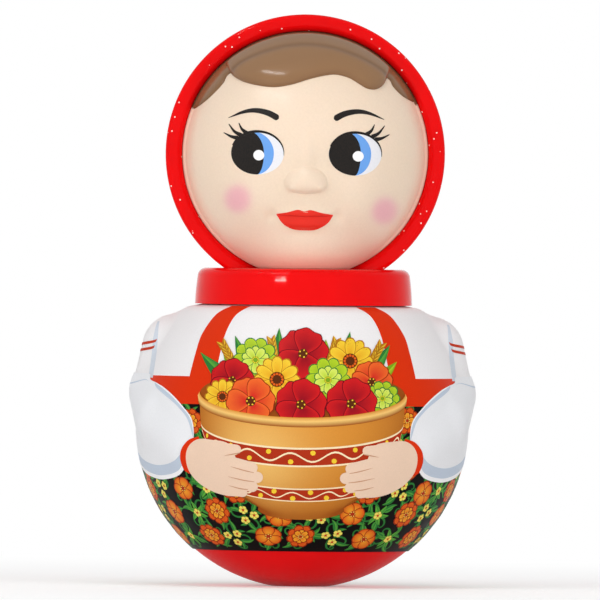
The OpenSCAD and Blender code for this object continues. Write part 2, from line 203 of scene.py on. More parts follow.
@dataclass(frozen=True)
class Finish:
    """A surface finish that becomes one material."""

    name: str

    def material(self) -> bpy.types.Material:
        """Makes the material, or finds the one made before.

        Returns:
            The material with its nodes.
        """
        made = bpy.data.materials.get(self.name)
        if made is None:
            made = bpy.data.materials.new(self.name)
            made.use_nodes = True
            tree = made.node_tree
            tree.nodes.clear()
            shader = add_node(tree, "ShaderNodeBsdfPrincipled", self.constants)
            self.dress(tree, shader)
            add_node(tree, "ShaderNodeOutputMaterial", links={"Surface": shader.outputs["BSDF"]})
        return made

    @property
    def constants(self) -> dict[str, Any]:
        """The shader's settings that are the same all over the surface."""
        raise NotImplementedError

    def dress(self, tree: Tree, shader: Node) -> None:
        """Adds what changes over the surface; each kind of finish has its own."""
        raise NotImplementedError

    def marks(self, tree: Tree, size: float, stretch: Sequence[float] = (1, 1, 1)) -> Any:
        """Scatters soft marks over the surface.

        Args:
            tree: Tree of the material.
            size: Size of a mark in millimetres.
            stretch: Scale along each axis, below 1 for marks drawn out that way.

        Returns:
            Output socket from 0 to 1.
        """
        place = add_node(tree, "ShaderNodeTexCoord")
        drawn = add_node(tree, "ShaderNodeMapping", {"Scale": stretch}, {"Vector": place.outputs["Object"]})
        settings = {"Scale": pattern_scale(size), "Detail": 3.0, "Roughness": 0.55}
        return add_node(tree, "ShaderNodeTexNoise", settings, {"Vector": drawn.outputs[0]}).outputs["Fac"]

    def tint(self, tree: Tree, marks: Any, colour: Any, deep: str, most: float) -> Any:
        """Deepens a colour where marks are strong.

        Args:
            tree: Tree of the material.
            marks: Marks from 0 to 1.
            colour: Colour between the marks, as a hex value or a socket.
            deep: Hex value of the colour in the marks.
            most: Greatest share of the deep colour.

        Returns:
            Output socket with the colour.
        """
        share = add_node(tree, "ShaderNodeMapRange", {**MARK_RANGE, "To Max": most}, {"Value": marks})
        settings, links = {"Color2": linear(deep)}, {"Fac": share.outputs["Result"]}
        if isinstance(colour, str):
            settings["Color1"] = linear(colour)
        else:
            links["Color1"] = colour
        return add_node(tree, "ShaderNodeMixRGB", settings, links).outputs["Color"]

    def work(
        self, tree: Tree, shader: Node, marks: Any, rough: float, swing: float,
        depth: float, strength: float,
    ) -> None:
        """Lets marks vary the gloss and stand out as a fine relief.

        Args:
            tree: Tree of the material.
            shader: Its shader.
            marks: Marks from 0 to 1.
            rough: Roughness on average.
            swing: Share by which the roughness goes up and down.
            depth: Height of the relief in millimetres.
            strength: How much of the relief shows.
        """
        settings = {**MARK_RANGE, "To Min": rough * (1 - swing), "To Max": rough * (1 + swing)}
        gloss = add_node(tree, "ShaderNodeMapRange", settings, {"Value": marks})
        settings = {"Distance": depth * MM, "Strength": strength}
        relief = add_node(tree, "ShaderNodeBump", settings, {"Height": marks})
        tree.links.new(gloss.outputs["Result"], shader.inputs["Roughness"])
        tree.links.new(relief.outputs["Normal"], shader.inputs["Normal"])


@dataclass(frozen=True)
class MouldedPlastic(Finish):
    """Injection-moulded plastic: an even colour with flow drift, and a faint orange peel in the gloss."""

    colour: str
    deep: str
    roughness: float = 0.05
    shine: float = 0.06
    peel: float = 1.6
    peel_depth: float = 0.008
    drift: float = 24.0
    # Painted glints: pale specks mixed into the base colour
    specks: bool = False
    speck_pitch: float = 2.6
    speck_r: float = 0.3
    speck_share: float = 0.55
    glint_speck_colour: str = "#ffe9e2"

    @property
    def constants(self) -> dict[str, Any]:
        """The plastic's refraction and shine."""
        return {"IOR": 1.53, "Specular IOR Level": self.shine}

    def dress(self, tree: Tree, shader: Node) -> None:
        """Adds colour drift, orange peel and, on the rim, pale specks painted into the colour as glints.

        Args:
            tree: Tree of the material.
            shader: Its shader.
        """
        colour = self.tint(tree, self.marks(tree, self.drift), self.colour, self.deep, 1.0)
        # Painted glints: pale specks in the base colour
        if self.specks:
            colour = self.paint_glint_specks(tree, colour)
        tree.links.new(colour, shader.inputs["Base Color"])
        self.work(tree, shader, self.marks(tree, self.peel), self.roughness, 0.2, self.peel_depth, 0.3)

    def paint_glint_specks(self, tree: Tree, colour: Any) -> Any:
        """Scatters tiny pale specks painted into the colour, standing in for glints.

        Args:
            tree: Tree of the material.
            colour: Colour under the specks.

        Returns:
            Output socket with the specked colour.
        """
        place = add_node(tree, "ShaderNodeTexCoord")
        settings = {"Scale": pattern_scale(self.speck_pitch)}
        cells = add_node(tree, "ShaderNodeTexVoronoi", settings, {"Vector": place.outputs["Object"]})
        settings = {"operation": "LESS_THAN", 1: self.speck_r / self.speck_pitch}
        near = add_node(tree, "ShaderNodeMath", settings, {0: cells.outputs["Distance"]})
        lot = add_node(tree, "ShaderNodeSeparateColor", links={"Color": cells.outputs["Color"]})
        settings = {"operation": "LESS_THAN", 1: self.speck_share}
        chosen = add_node(tree, "ShaderNodeMath", settings, {0: lot.outputs["Red"]})
        links = {0: near.outputs[0], 1: chosen.outputs[0]}
        both = add_node(tree, "ShaderNodeMath", {"operation": "MULTIPLY"}, links)
        settings, links = {"Color2": linear(self.glint_speck_colour)}, {"Fac": both.outputs[0], "Color1": colour}
        return add_node(tree, "ShaderNodeMixRGB", settings, links).outputs["Color"]


@dataclass(frozen=True)
class PrintedPet(Finish):
    """Gravure print on heat-shrunk PET film: ink colours under a clear gloss with a soft ripple.

    The screen of a real print is about 0.15 mm fine, so its grain is drawn coarser, for it to show.
    """

    roughness: float = 0.4
    shine: float = 0.04
    grain: float = 0.5
    grain_colour: str = "#2a2827"
    ripple: float = 9.0
    ripple_depth: float = 0.15

    @property
    def constants(self) -> dict[str, Any]:
        """The film's refraction and shine."""
        return {"IOR": 1.57, "Specular IOR Level": self.shine}

    def dress(self, tree: Tree, shader: Node) -> None:
        """Adds the ink's colour with its fine grain, and the film's ripple.

        Args:
            tree: Tree of the material.
            shader: Its shader.
        """
        ink = add_node(tree, "ShaderNodeAttribute", {"attribute_name": INK_ATTRIBUTE})
        grain = self.marks(tree, self.grain)
        toned = self.tint(tree, grain, ink.outputs["Color"], self.grain_colour, 0.05)
        tree.links.new(toned, shader.inputs["Base Color"])
        self.work(tree, shader, self.marks(tree, self.ripple), self.roughness, 0.15, self.ripple_depth, 0.12)


@dataclass(frozen=True)
class PaintedVinyl(Finish):
    """Soft vinyl with sprayed paint: light sinks in a little, so the skin glows, and the gloss is satin.

    A real spray's stipple is about 0.2 mm fine, so it is drawn coarser, for it to show.
    """

    roughness: float = 0.42
    shine: float = 0.3
    sink: float = 0.08
    sink_depth: float = 1.5
    coat: float = 0.05
    stipple: float = 0.8
    stipple_colour: str = "#7a5a44"
    stretch: Triple = (1.0, 1.0, 1.0)
    relief: float = 0.02

    @property
    def constants(self) -> dict[str, Any]:
        """The vinyl's refraction, shine, clear coat and the way light sinks in."""
        return {"IOR": 1.5, "Specular IOR Level": self.shine, "Coat Weight": self.coat, "Coat Roughness": 0.15,
                "Subsurface Weight": self.sink, "Subsurface Radius": (1.0, 0.45, 0.3),
                "Subsurface Scale": self.sink_depth * MM}

    def dress(self, tree: Tree, shader: Node) -> None:
        """Adds the sprayed colour, its stipple and the satin gloss.

        Args:
            tree: Tree of the material.
            shader: Its shader.
        """
        paint = add_node(tree, "ShaderNodeAttribute", {"attribute_name": INK_ATTRIBUTE})
        stipple = self.marks(tree, self.stipple, self.stretch)
        toned = self.tint(tree, stipple, paint.outputs["Color"], self.stipple_colour, 0.05)
        tree.links.new(toned, shader.inputs["Base Color"])
        self.work(tree, shader, stipple, self.roughness, 0.1, self.relief, 0.25)


@dataclass(frozen=True)
class WorkedMetal(Finish):
    """Metal with the marks of how it was made: brushed lines, casting grain or a painted skin."""

    colour: str
    deep: str
    roughness: float
    grain: float
    stretch: Triple = (1.0, 1.0, 1.0)
    metallic: float = 1.0
    relief: float = 0.01

    @property
    def constants(self) -> dict[str, Any]:
        """Bare metal, or paint over it."""
        return {"Metallic": self.metallic}

    def dress(self, tree: Tree, shader: Node) -> None:
        """Adds the tone, gloss and relief of the worked surface.

        Args:
            tree: Tree of the material.
            shader: Its shader.
        """
        marks = self.marks(tree, self.grain, self.stretch)
        tree.links.new(self.tint(tree, marks, self.colour, self.deep, 1.0), shader.inputs["Base Color"])
        self.work(tree, shader, marks, self.roughness, 0.25, self.relief, 0.4)


# Polished ABS: saturated red with sharp reflections; on the rim a few pale specks are painted into the colour as
# glints
HOOD_ABS = MouldedPlastic("abs_gloss_red", Ink.HOOD_RED.value, "#ec080b")
RIM_ABS = MouldedPlastic("abs_gloss_red_glint_specks", Ink.HOOD_RED.value, "#ec080b", specks=True)
# Polypropylene: a duller red with a broader sheen
BASE_PP = MouldedPlastic("polypropylene_red", "#f8161a", "#f01418", roughness=0.36, shine=0.03, drift=18)
# White polypropylene under the film, plain and slightly uneven
SHELL_PP = MouldedPlastic("polypropylene_white", "#ecebe7", "#e0dfda", roughness=0.4, shine=0.3)
# Nylon link: waxy and a little translucent to the eye
LINK_NYLON = MouldedPlastic("nylon_orange", "#d9741c", "#c7640f", roughness=0.45, shine=0.3, drift=5)
# Shrunk PET film: flat ink colours under a thin clear gloss that ripples softly
FILM_PET = PrintedPet("pet_film_print")
# Sprayed vinyl: a warm, soft skin with a satin sheen
FACE_VINYL = PaintedVinyl("vinyl_sprayed_skin")
# Brushed-on enamel: dense colour with a wet gloss
FACE_ENAMEL = PaintedVinyl("enamel_paint", roughness=0.34, shine=0.2, sink=0.0, coat=0.0, stipple=0.6)
# Hair is moulded vinyl, sprayed brown, with strand lines drawn out sideways
HAIR_VINYL = PaintedVinyl("vinyl_sprayed_hair", roughness=0.2, shine=0.22, sink=0.02, coat=0.0, stipple=2.2,
                          stretch=(0.16, 0.3, 1.0), relief=0.04)
# Zinc plate: pale grey with a soft satin grain
ZINC_STEEL = WorkedMetal("steel_zinc_plated", "#b9bcbf", "#9da2a6", 0.34, 1.4)
# Drawn and polished rod: bright, with fine lines along its length
ROD_STEEL = WorkedMetal("steel_polished", "#d3d4d6", "#bfc1c4", 0.16, 1.2, (1.0, 1.0, 0.08))
# Milled brass: warm yellow with tool lines
BLOCK_BRASS = WorkedMetal("brass_milled", "#cfa651", "#b98d3b", 0.28, 1.0, (0.1, 1.0, 1.0))
# Painted strip: grey enamel over steel
FRAME_PAINT = WorkedMetal("steel_painted_grey", "#5f6872", "#555d66", 0.42, 2.5, metallic=0.0)
# Cast iron: dark with a coarse sand grain
CAST_IRON = WorkedMetal("iron_cast", "#4a4a4c", "#333336", 0.62, 1.1, relief=0.12)


def quads(index: Array) -> Array:
    """Lists the faces of a grid.

    Args:
        index: Numbers of the grid's points, by row and column.

    Returns:
        Four point numbers for each face.
    """
    corners = (index[:-1, :-1], index[:-1, 1:], index[1:, 1:], index[1:, :-1])
    return np.stack(corners, -1).reshape(-1, 4)


class Slabs:
    """Thin closed shapes, gathered into one mesh with a colour at each point."""

    def __init__(self) -> None:
        """Starts with no shape."""
        self.points: list[Array] = []
        self.colours: list[Array] = []
        self.faces: list[list[int]] = []
        self.count = 0

    def add(self, top: Array, under: Array, colours: Array, ring: bool = False, cap: bool = False) -> None:
        """Adds one shape as a grid with a top, an underside and walls.

        Args:
            top: Points of the upper side, by row and column.
            under: Points of the lower side, in the same order.
            colours: Linear colours of the points.
            ring: The last column joins the first one.
            cap: The first row of a ring is closed with a face.
        """
        rows, columns = top.shape[:2]
        size = rows * columns
        index = self.count + np.arange(size).reshape(rows, columns)
        upper = np.column_stack([index, index[:, :1]]) if ring else index
        lower = upper + size
        made = [quads(upper), quads(lower)[:, ::-1], quads(np.stack([upper[-1], lower[-1]]))]
        if not cap:
            made.append(quads(np.stack([lower[0], upper[0]])))
        if not ring:
            made.append(quads(np.stack([lower[:, -1], upper[:, -1]])))
            made.append(quads(np.stack([upper[:, 0], lower[:, 0]])))
        faces = np.concatenate(made).tolist()
        if cap:
            faces.append(index[0].tolist()[::-1])
            faces.append((index[0] + size).tolist())
        inner = top[-2] if rows > 1 else np.broadcast_to(top.mean((0, 1)), top[0].shape)
        if self._faces_in(inner, top[-1], under[-1]):
            faces = [face[::-1] for face in faces]
        self.faces.extend(faces)
        self.points.extend([top.reshape(-1, 3), under.reshape(-1, 3)])
        self.colours.extend([colours.reshape(-1, 3)] * 2)
        self.count += 2 * size

    @staticmethod
    def _faces_in(inner: Array, outer: Array, below: Array) -> bool:
        """Tells whether a grid's own turning points its faces inwards.

        Args:
            inner: The last row but one of the upper side, or its middle.
            outer: The last row of the upper side.
            below: The last row of the lower side.

        Returns:
            True where the faces have to be turned over.
        """
        across = np.cross(np.diff(inner, axis=0) + np.diff(outer, axis=0), (outer - inner)[1:])
        return float(np.sum(across * (outer - below)[1:])) < 0

    def make(self, name: str, finish: Finish) -> Piece:
        """Makes one object of all shapes and lets it ride on the doll.

        Args:
            name: Name of the piece.
            finish: Its finish.

        Returns:
            The new object.
        """
        points = np.concatenate(self.points) * MM
        data = bpy.data.meshes.new(name)
        data.from_pydata(points.tolist(), [], self.faces)
        data.update()
        data.shade_smooth()
        data.set_sharp_from_angle(angle=math.radians(50))
        data.materials.append(finish.material())
        colours = np.concatenate(self.colours)
        layer = data.color_attributes.new(INK_ATTRIBUTE, "FLOAT_COLOR", "POINT")
        layer.data.foreach_set("color", np.column_stack([colours, np.ones(len(colours))]).ravel())
        piece = bpy.data.objects.new(name, data)
        bpy.context.scene.collection.objects.link(piece)
        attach(piece, "doll")
        return piece


def curve(points: Sequence[Sequence[float]], count: int, closed: bool = False) -> Array:
    """Draws a smooth curve through points and steps along it evenly.

    Args:
        points: Points that the curve goes through.
        count: Number of points to return.
        closed: Joins the end to the start.

    Returns:
        Evenly spaced points on the curve.
    """
    knots = np.asarray(points, float)
    if closed:
        knots = np.vstack([knots[-1], knots, knots[0], knots[1]])
    else:
        knots = np.vstack([2 * knots[0] - knots[1], knots, 2 * knots[-1] - knots[-2]])
    t = np.linspace(0, 1, 12, endpoint=False)[:, None]
    pieces = []
    for p0, p1, p2, p3 in zip(knots, knots[1:], knots[2:], knots[3:]):
        bend = (2 * p0 - 5 * p1 + 4 * p2 - p3) * t**2 + (3 * p1 - p0 - 3 * p2 + p3) * t**3
        pieces.append(p1 + 0.5 * ((p2 - p0) * t + bend))
    dense = np.vstack([*pieces, knots[-2]])
    return along_line(dense, count, closed)


def along_line(points: Array, count: int, closed: bool) -> Array:
    """Steps evenly along a line of points.

    Args:
        points: Points of the line; a closed one ends where it starts.
        count: Number of points to return.
        closed: Leaves out the last point, which is the first one again.

    Returns:
        Evenly spaced points.
    """
    way = np.append(0, np.cumsum(np.linalg.norm(np.diff(points, axis=0), axis=1)))
    steps = np.linspace(0, way[-1], count, endpoint=not closed)
    return np.stack([np.interp(steps, way, points[:, i]) for i in range(points.shape[1])], -1)


def full_turn(count: int) -> Array:
    """Gives evenly spaced angles all round, in radians."""
    return np.linspace(0, 2 * math.pi, count, endpoint=False)


def heading(angle: Array | float) -> Array:
    """Gives the flat direction (right, up) at an angle in radians."""
    return np.stack([np.cos(angle), np.sin(angle)], -1)


def ellipse(x: float, z: float, wide: float, high: float, count: int = 24) -> Array:
    """Gives the outline of an ellipse from its middle and half sizes."""
    return np.array([x, z]) + heading(full_turn(count)) * np.array([wide, high])


def shifted(lay: Lay, shift: Array) -> Lay:
    """Gives rays for flat points that are moved sideways first."""
    return lambda spots: lay(spots + shift)


def mirrored(points: Sequence[Any], side: int) -> Array:
    """Turns points of the right side into points of the given side."""
    return np.asarray(points, float) * np.array([side, 1])


class Layer(float, Enum):
    """Layers of ink on the film, from the ground up; some motifs share one."""

    GROUND = 1.0
    CURL = 1.6
    STRAP = 2.0
    LEAF = 2.0
    SMALL_LEAF = 2.3
    FLOWER = 3.0
    STRIPE = 4.0
    POSY = 4.0
    SLEEVE = 8.0
    MOUTH = 8.0
    TRIM = 9.0
    BOUQUET_LEAF = 9.0
    FOLD = 9.5
    STALK = 9.8
    EAR = 10.0
    BOUQUET = 10.4
    BOWL = 20.0
    BAND = 20.7
    ORNAMENT = 21.3
    LIP = 22.0
    CUFF = 23.0
    PALM = 24.0
    FINGER = 25.0
    CREASE = 27.0


class FaceLayer(float, Enum):
    """Layers of paint on the face, from the skin up; some features share one."""

    EYE = 1.0
    IRIS = 2.0
    BROW = 2.0
    LIPS = 2.0
    LIP_LINE = 2.8
    PUPIL = 3.0
    GLINT = 4.0
    LASH = 4.0
    LID = 5.0


@dataclass
class Patch:
    """A shape of ink that waits to be laid on a form."""

    start: Array
    along: Array
    layer: float
    colours: Array
    ring: bool
    cap: bool


class Print:
    """Ink shapes on one form: each lies in a layer, and a later layer covers an earlier one."""

    STEP = 0.03
    THICK = 0.05

    def __init__(self, form: "BodyForm | FaceForm", grain: float = 1.2) -> None:
        """Starts with a bare form.

        Args:
            form: Form that carries the ink.
            grain: Greatest distance between the points of a shape.
        """
        self.form = form
        self.grain = grain
        self.patches: list[Patch] = []

    def put(
        self, lay: Lay, spots: Array, layer: float, colours: Array, ring: bool = False, cap: bool = False
    ) -> None:
        """Adds a grid of flat points.

        Args:
            lay: Gives the rays that carry flat points on to the form.
            spots: Flat points by row and column.
            layer: Its layer.
            colours: Linear colours of the points.
            ring: The last column joins the first one.
            cap: The first row of a ring is closed.
        """
        start, along = lay(spots)
        whole = np.broadcast_to(colours, (*spots.shape[:2], 3))
        self.patches.append(Patch(start, along, layer, whole, ring, cap))

    def strip(
        self, lay: Lay, first: Array, second: Array, layer: float, ink: Ink, other: Ink | None = None,
        ring: bool = False,
    ) -> None:
        """Fills the space between two lines.

        Args:
            lay: Gives the rays.
            first: Points of one line.
            second: As many points of the other line.
            layer: Its layer.
            ink: Colour at the first line.
            other: Colour at the second line, if it differs.
            ring: The lines close on themselves.
        """
        widest = float(np.max(np.linalg.norm(second - first, axis=-1)))
        share = np.linspace(0, 1, max(2, math.ceil(widest / self.grain) + 1))
        spots = first + (second - first) * share[:, None, None]
        self.put(lay, spots, layer, mix(ink.light, (other or ink).light, share)[:, None, :], ring)

    def line(self, lay: Lay, path: Array, width: Array | float, layer: float, ink: Ink) -> None:
        """Draws a line of a given width along a path.

        Args:
            lay: Gives the rays.
            path: Points along the middle of the line.
            width: Width at each point, or the same all along.
            layer: Its layer.
            ink: Colour of the line.
        """
        along = unit(np.gradient(path, axis=0))
        half = np.stack([-along[:, 1], along[:, 0]], -1) * (np.broadcast_to(width, len(path))[:, None] / 2)
        self.strip(lay, path + half, path - half, layer, ink)

    def blot(
        self, lay: Lay, outline: Array, layer: float, ink: Ink, core: Ink | None = None,
        hub: Sequence[float] | None = None,
    ) -> None:
        """Fills a round outline, with its own colour in the middle if there is one.

        Args:
            lay: Gives the rays.
            outline: Points of the closed outline.
            layer: Its layer.
            ink: Colour at the edge.
            core: Colour in the middle.
            hub: Point that the fill spreads from, the middle if left out.
        """
        middle = outline.mean(0) if hub is None else np.asarray(hub, float)
        reach = float(np.max(np.linalg.norm(outline - middle, axis=-1)))
        whole = np.vstack([outline, outline[:1]])
        length = float(np.sum(np.linalg.norm(np.diff(whole, axis=0), axis=-1)))
        edge = along_line(whole, max(7, math.ceil(length / self.grain)), True)
        rings = max(1, math.ceil(reach / self.grain))
        share = np.linspace(0, 1, rings + 1)[1:]
        spots = middle + (edge - middle) * share[:, None, None]
        self.put(lay, spots, layer, mix((core or ink).light, ink.light, share)[:, None, :], True, True)

    def make(self, name: str, finish: Finish = FILM_PET, slot: str = "film_print") -> Piece:
        """Lays all shapes on the form and makes one piece of them.

        Args:
            name: Name of the piece.
            finish: Its finish.
            slot: Not used.

        Returns:
            The piece.
        """
        start = np.concatenate([patch.start.reshape(-1, 3) for patch in self.patches])
        along = np.concatenate([patch.along.reshape(-1, 3) for patch in self.patches])
        points, normals = self.form.land(start, along)
        slabs = Slabs()
        used = 0
        for patch in self.patches:
            shape = patch.start.shape
            part = slice(used, used + shape[0] * shape[1])
            used = part.stop
            point, normal = points[part].reshape(shape), normals[part].reshape(shape)
            height = patch.layer * self.STEP
            slabs.add(point + normal * height, point + normal * (height - self.THICK), patch.colours,
                      patch.ring, patch.cap)
        return slabs.make(name, finish)


def unit(vectors: Array) -> Array:
    """Scales vectors to a length of 1."""
    return vectors / np.linalg.norm(vectors, axis=-1, keepdims=True)


def smooth_min(first: Array, second: Array, blend: float) -> Array:
    """Joins two distances with a soft valley between them.

    Args:
        first: Distances from one form.
        second: Distances from the other form.
        blend: Width of the valley in millimetres.

    Returns:
        Distances from both forms together.
    """
    share = np.clip(0.5 + 0.5 * (second - first) / blend, 0, 1)
    return second + (first - second) * share - blend * share * (1 - share)


def held(values: Array, low: float, high: float, fade: float) -> Array:
    """Keeps values between two limits; those beyond crowd together close to the limit.

    Args:
        values: Values to limit.
        low: Lower limit.
        high: Upper limit.
        fade: Room inside each limit that the outlying values share.

    Returns:
        Limited values.
    """
    values = np.where(values < low + fade, low + fade * np.exp((values - low - fade) / fade), values)
    return np.where(values > high - fade, high - fade * np.exp((high - fade - values) / fade), values)


def bar_distance(spots: Array, start: Array, end: Array, radius: float) -> Array:
    """Measures the distance from a round-ended bar.

    Args:
        spots: Points to measure.
        start: Middle of the bar's one end.
        end: Middle of its other end.
        radius: Radius of the bar.

    Returns:
        Distance of each point, negative inside the bar.
    """
    along = end - start
    share = np.clip((spots - start) @ along / (along @ along), 0, 1)
    return np.linalg.norm(spots - start - share[..., None] * along, axis=-1) - radius


@dataclass
class BodyForm:
    """Outside of the film: a ball with both arms in relief, cut off at a sloping top."""

    ball_r: float
    ball_z: float
    top_z: float
    film_out: float = 0.45
    top_flat_r: float = 36.0
    top_slope: float = 10.0
    top_round: float = 1.5
    arm_r: float = 11.7
    shoulder: Triple = (5.7, 30.6, 90.0)
    elbow: Triple = (3.0, 12.5, 90.0)
    sleeve_end: Triple = (2.1, 1.75, 70.0)
    wrist: Triple = (1.2, -9.0, 50.0)
    sleeve_puff: float = 0.8
    arm_blend: float = 3.0
    fold_blend: float = 0.8
    sight: float = 0.25
    ray_length: float = 95.0
    settle_steps: int = 19
    feel: float = 0.02
    cut_fade: float = 0.005
    joints: list[Array] = field(init=False)

    def __post_init__(self) -> None:
        """Places the arm's joints, each given as its rise, elevation and turn."""
        places = (self.shoulder, self.elbow, self.sleeve_end, self.wrist)
        self.joints = [self.ball_point(self.ball_r - self.arm_r + rise, elevation, turn)
                       for rise, elevation, turn in places]

    @classmethod
    def from_frame(cls, sole_r: float = 10.5) -> "BodyForm":
        """Takes the ball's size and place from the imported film.

        Args:
            sole_r: Radius of the flat under the base.

        Returns:
            The form.
        """
        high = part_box("printed_sleeve")[1]
        ball_r = high.y / MM - cls.film_out
        return cls(ball_r, math.sqrt(ball_r**2 - sole_r**2), high.z / MM - cls.film_out)

    @property
    def middle(self) -> Array:
        """Middle of the ball."""
        return np.array([0, 0, self.ball_z])

    def ball_point(self, distance: float, elevation: float, turn: float) -> Array:
        """Gives a point as seen from the ball's middle.

        Args:
            distance: Distance from the middle.
            elevation: Angle above the level in degrees.
            turn: Turn from the front in degrees, positive to +X.

        Returns:
            The point.
        """
        up, way = math.radians(elevation), math.radians(turn)
        flat = math.cos(up)
        return self.middle + distance * np.array([flat * math.sin(way), -flat * math.cos(way), math.sin(up)])

    def distance(self, spots: Array) -> Array:
        """Measures how far points lie outside the film.

        Args:
            spots: Points in millimetres.

        Returns:
            Distance of each point, negative inside.
        """
        right = np.abs(spots) * np.array([1, 0, 0]) + spots * np.array([0, 1, 1])
        shoulder, elbow, sleeve_end, wrist = self.joints
        arm = bar_distance(right, shoulder, elbow, self.arm_r)
        puff = bar_distance(right, elbow, sleeve_end, self.arm_r + self.sleeve_puff)
        lower = bar_distance(right, sleeve_end, wrist, self.arm_r)
        arm = smooth_min(smooth_min(arm, puff, self.fold_blend), lower, self.fold_blend)
        ball = np.linalg.norm(spots - self.middle, axis=-1) - self.ball_r
        whole = smooth_min(ball, arm, self.arm_blend)
        reach = np.hypot(spots[..., 0], spots[..., 1]) - self.top_flat_r
        slope = math.radians(self.top_slope)
        top = (spots[..., 2] - self.top_z + np.maximum(reach, 0) * math.tan(slope)) * math.cos(slope)
        return -smooth_min(-whole, -top, self.top_round) - self.film_out

    def land(self, start: Array, along: Array) -> tuple[Array, Array]:
        """Finds where rays leave the form.

        Args:
            start: Start of each ray, inside the form.
            along: Its direction.

        Returns:
            Points on the outside, and the outward directions there.
        """
        low = np.zeros(len(start))
        high = np.full(len(start), self.ray_length)
        for _ in range(self.settle_steps):
            middle = (low + high) / 2
            out = self.distance(start + along * middle[:, None]) > 0
            high = np.where(out, middle, high)
            low = np.where(out, low, middle)
        found = start + along * high[:, None]
        steps = self.feel * np.eye(3)
        slopes = [self.distance(found + step) - self.distance(found - step) for step in steps]
        return found, unit(np.stack(slopes, -1))

    def facing(self, side: int) -> Lay:
        """Carries flat points (x, z), as the camera sees them, on to the front or the back.

        Args:
            side: -1 for the front, 1 for the back.

        Returns:
            Function that gives the rays.
        """
        up = math.radians(self.sight)

        def lay(spots: Array) -> Rays:
            """Sends points along the line of sight."""
            start = np.stack([spots[..., 0], np.zeros(spots.shape[:-1]), spots[..., 1]], -1)
            return start, np.broadcast_to([0, side * math.cos(up), math.sin(up)], start.shape)
        return lay

    def wrap(self, spots: Array) -> Rays:
        """Carries flat points outwards from the upright axis.

        Args:
            spots: Flat points (turn in degrees, z).

        Returns:
            Start and direction of each ray.
        """
        turn, none = np.radians(spots[..., 0]), np.zeros(spots.shape[:-1])
        start = np.stack([none, none, spots[..., 1]], -1)
        return start, np.stack([np.sin(turn), -np.cos(turn), none], -1)

    def stamp(self, place: Array, out: Array, spin: float, low: float, high: float) -> Lay:
        """Carries flat points (right, up) on to the form round one place, cut off at two levels.

        Args:
            place: Point on the form.
            out: Outward direction there.
            spin: Turn of the motif in its own plane, in degrees.
            low: Lowest height that it may reach.
            high: Greatest height that it may reach.

        Returns:
            Function that gives the rays.
        """
        right = unit(np.cross([0, 0, 1], out))
        up = np.cross(out, right)
        c, s = math.cos(math.radians(spin)), math.sin(math.radians(spin))
        lowest, highest = ((z - self.ball_z) / (self.ball_r + self.film_out) for z in (low, high))

        def lay(spots: Array) -> Rays:
            """Moves flat points to the place and outwards from the ball's middle.

            Args:
                spots: Flat points (right, up).

            Returns:
                Start and direction of each ray.
            """
            x, z = spots[..., :1], spots[..., 1:]
            way = unit(place + (x * c - z * s) * right + (x * s + z * c) * up - self.middle)
            rise = held(way[..., 2:], lowest, highest, self.cut_fade)
            flat = way[..., :2] * np.sqrt((1 - rise**2) / (1 - way[..., 2:] ** 2))
            return np.broadcast_to(self.middle, way.shape), np.concatenate([flat, rise], -1)
        return lay


@dataclass
class PrintedFilm:
    """Shrink film over ball and arms, open at the hem and under the collar."""

    form: BodyForm
    hem_z: float
    dark_z: float = 60.0
    wall: float = 0.38
    columns: int = 360
    rows: int = 150

    def build(self) -> Pieces:
        """Makes the bare film as a closed thin shell that stands for the CAD film.

        Returns:
            The film.
        """
        form = self.form
        low = math.asin((self.hem_z - form.ball_z) / (form.ball_r + form.film_out))
        high = math.atan2(form.top_z + form.film_out - form.ball_z, form.top_flat_r)
        up = np.linspace(low, high, self.rows)[:, None]
        turn = full_turn(self.columns)[None, :]
        way = np.stack([np.cos(up) * np.sin(turn), -np.cos(up) * np.cos(turn), np.sin(up) + 0 * turn], -1)
        start = np.broadcast_to(form.middle, way.shape).reshape(-1, 3)
        points, normals = form.land(start, way.reshape(-1, 3))
        outside, normals = points.reshape(way.shape), normals.reshape(way.shape)
        dark = (outside[..., 2] < self.dark_z).astype(float)
        ground = mix(Ink.FILM_WHITE.light, Ink.SKIRT_BLACK.light, dark)
        shell = Slabs()
        shell.add(outside, outside - normals * self.wall, ground, ring=True)
        film = shell.make("printed_film", FILM_PET)
        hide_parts("printed_sleeve")
        return [film]


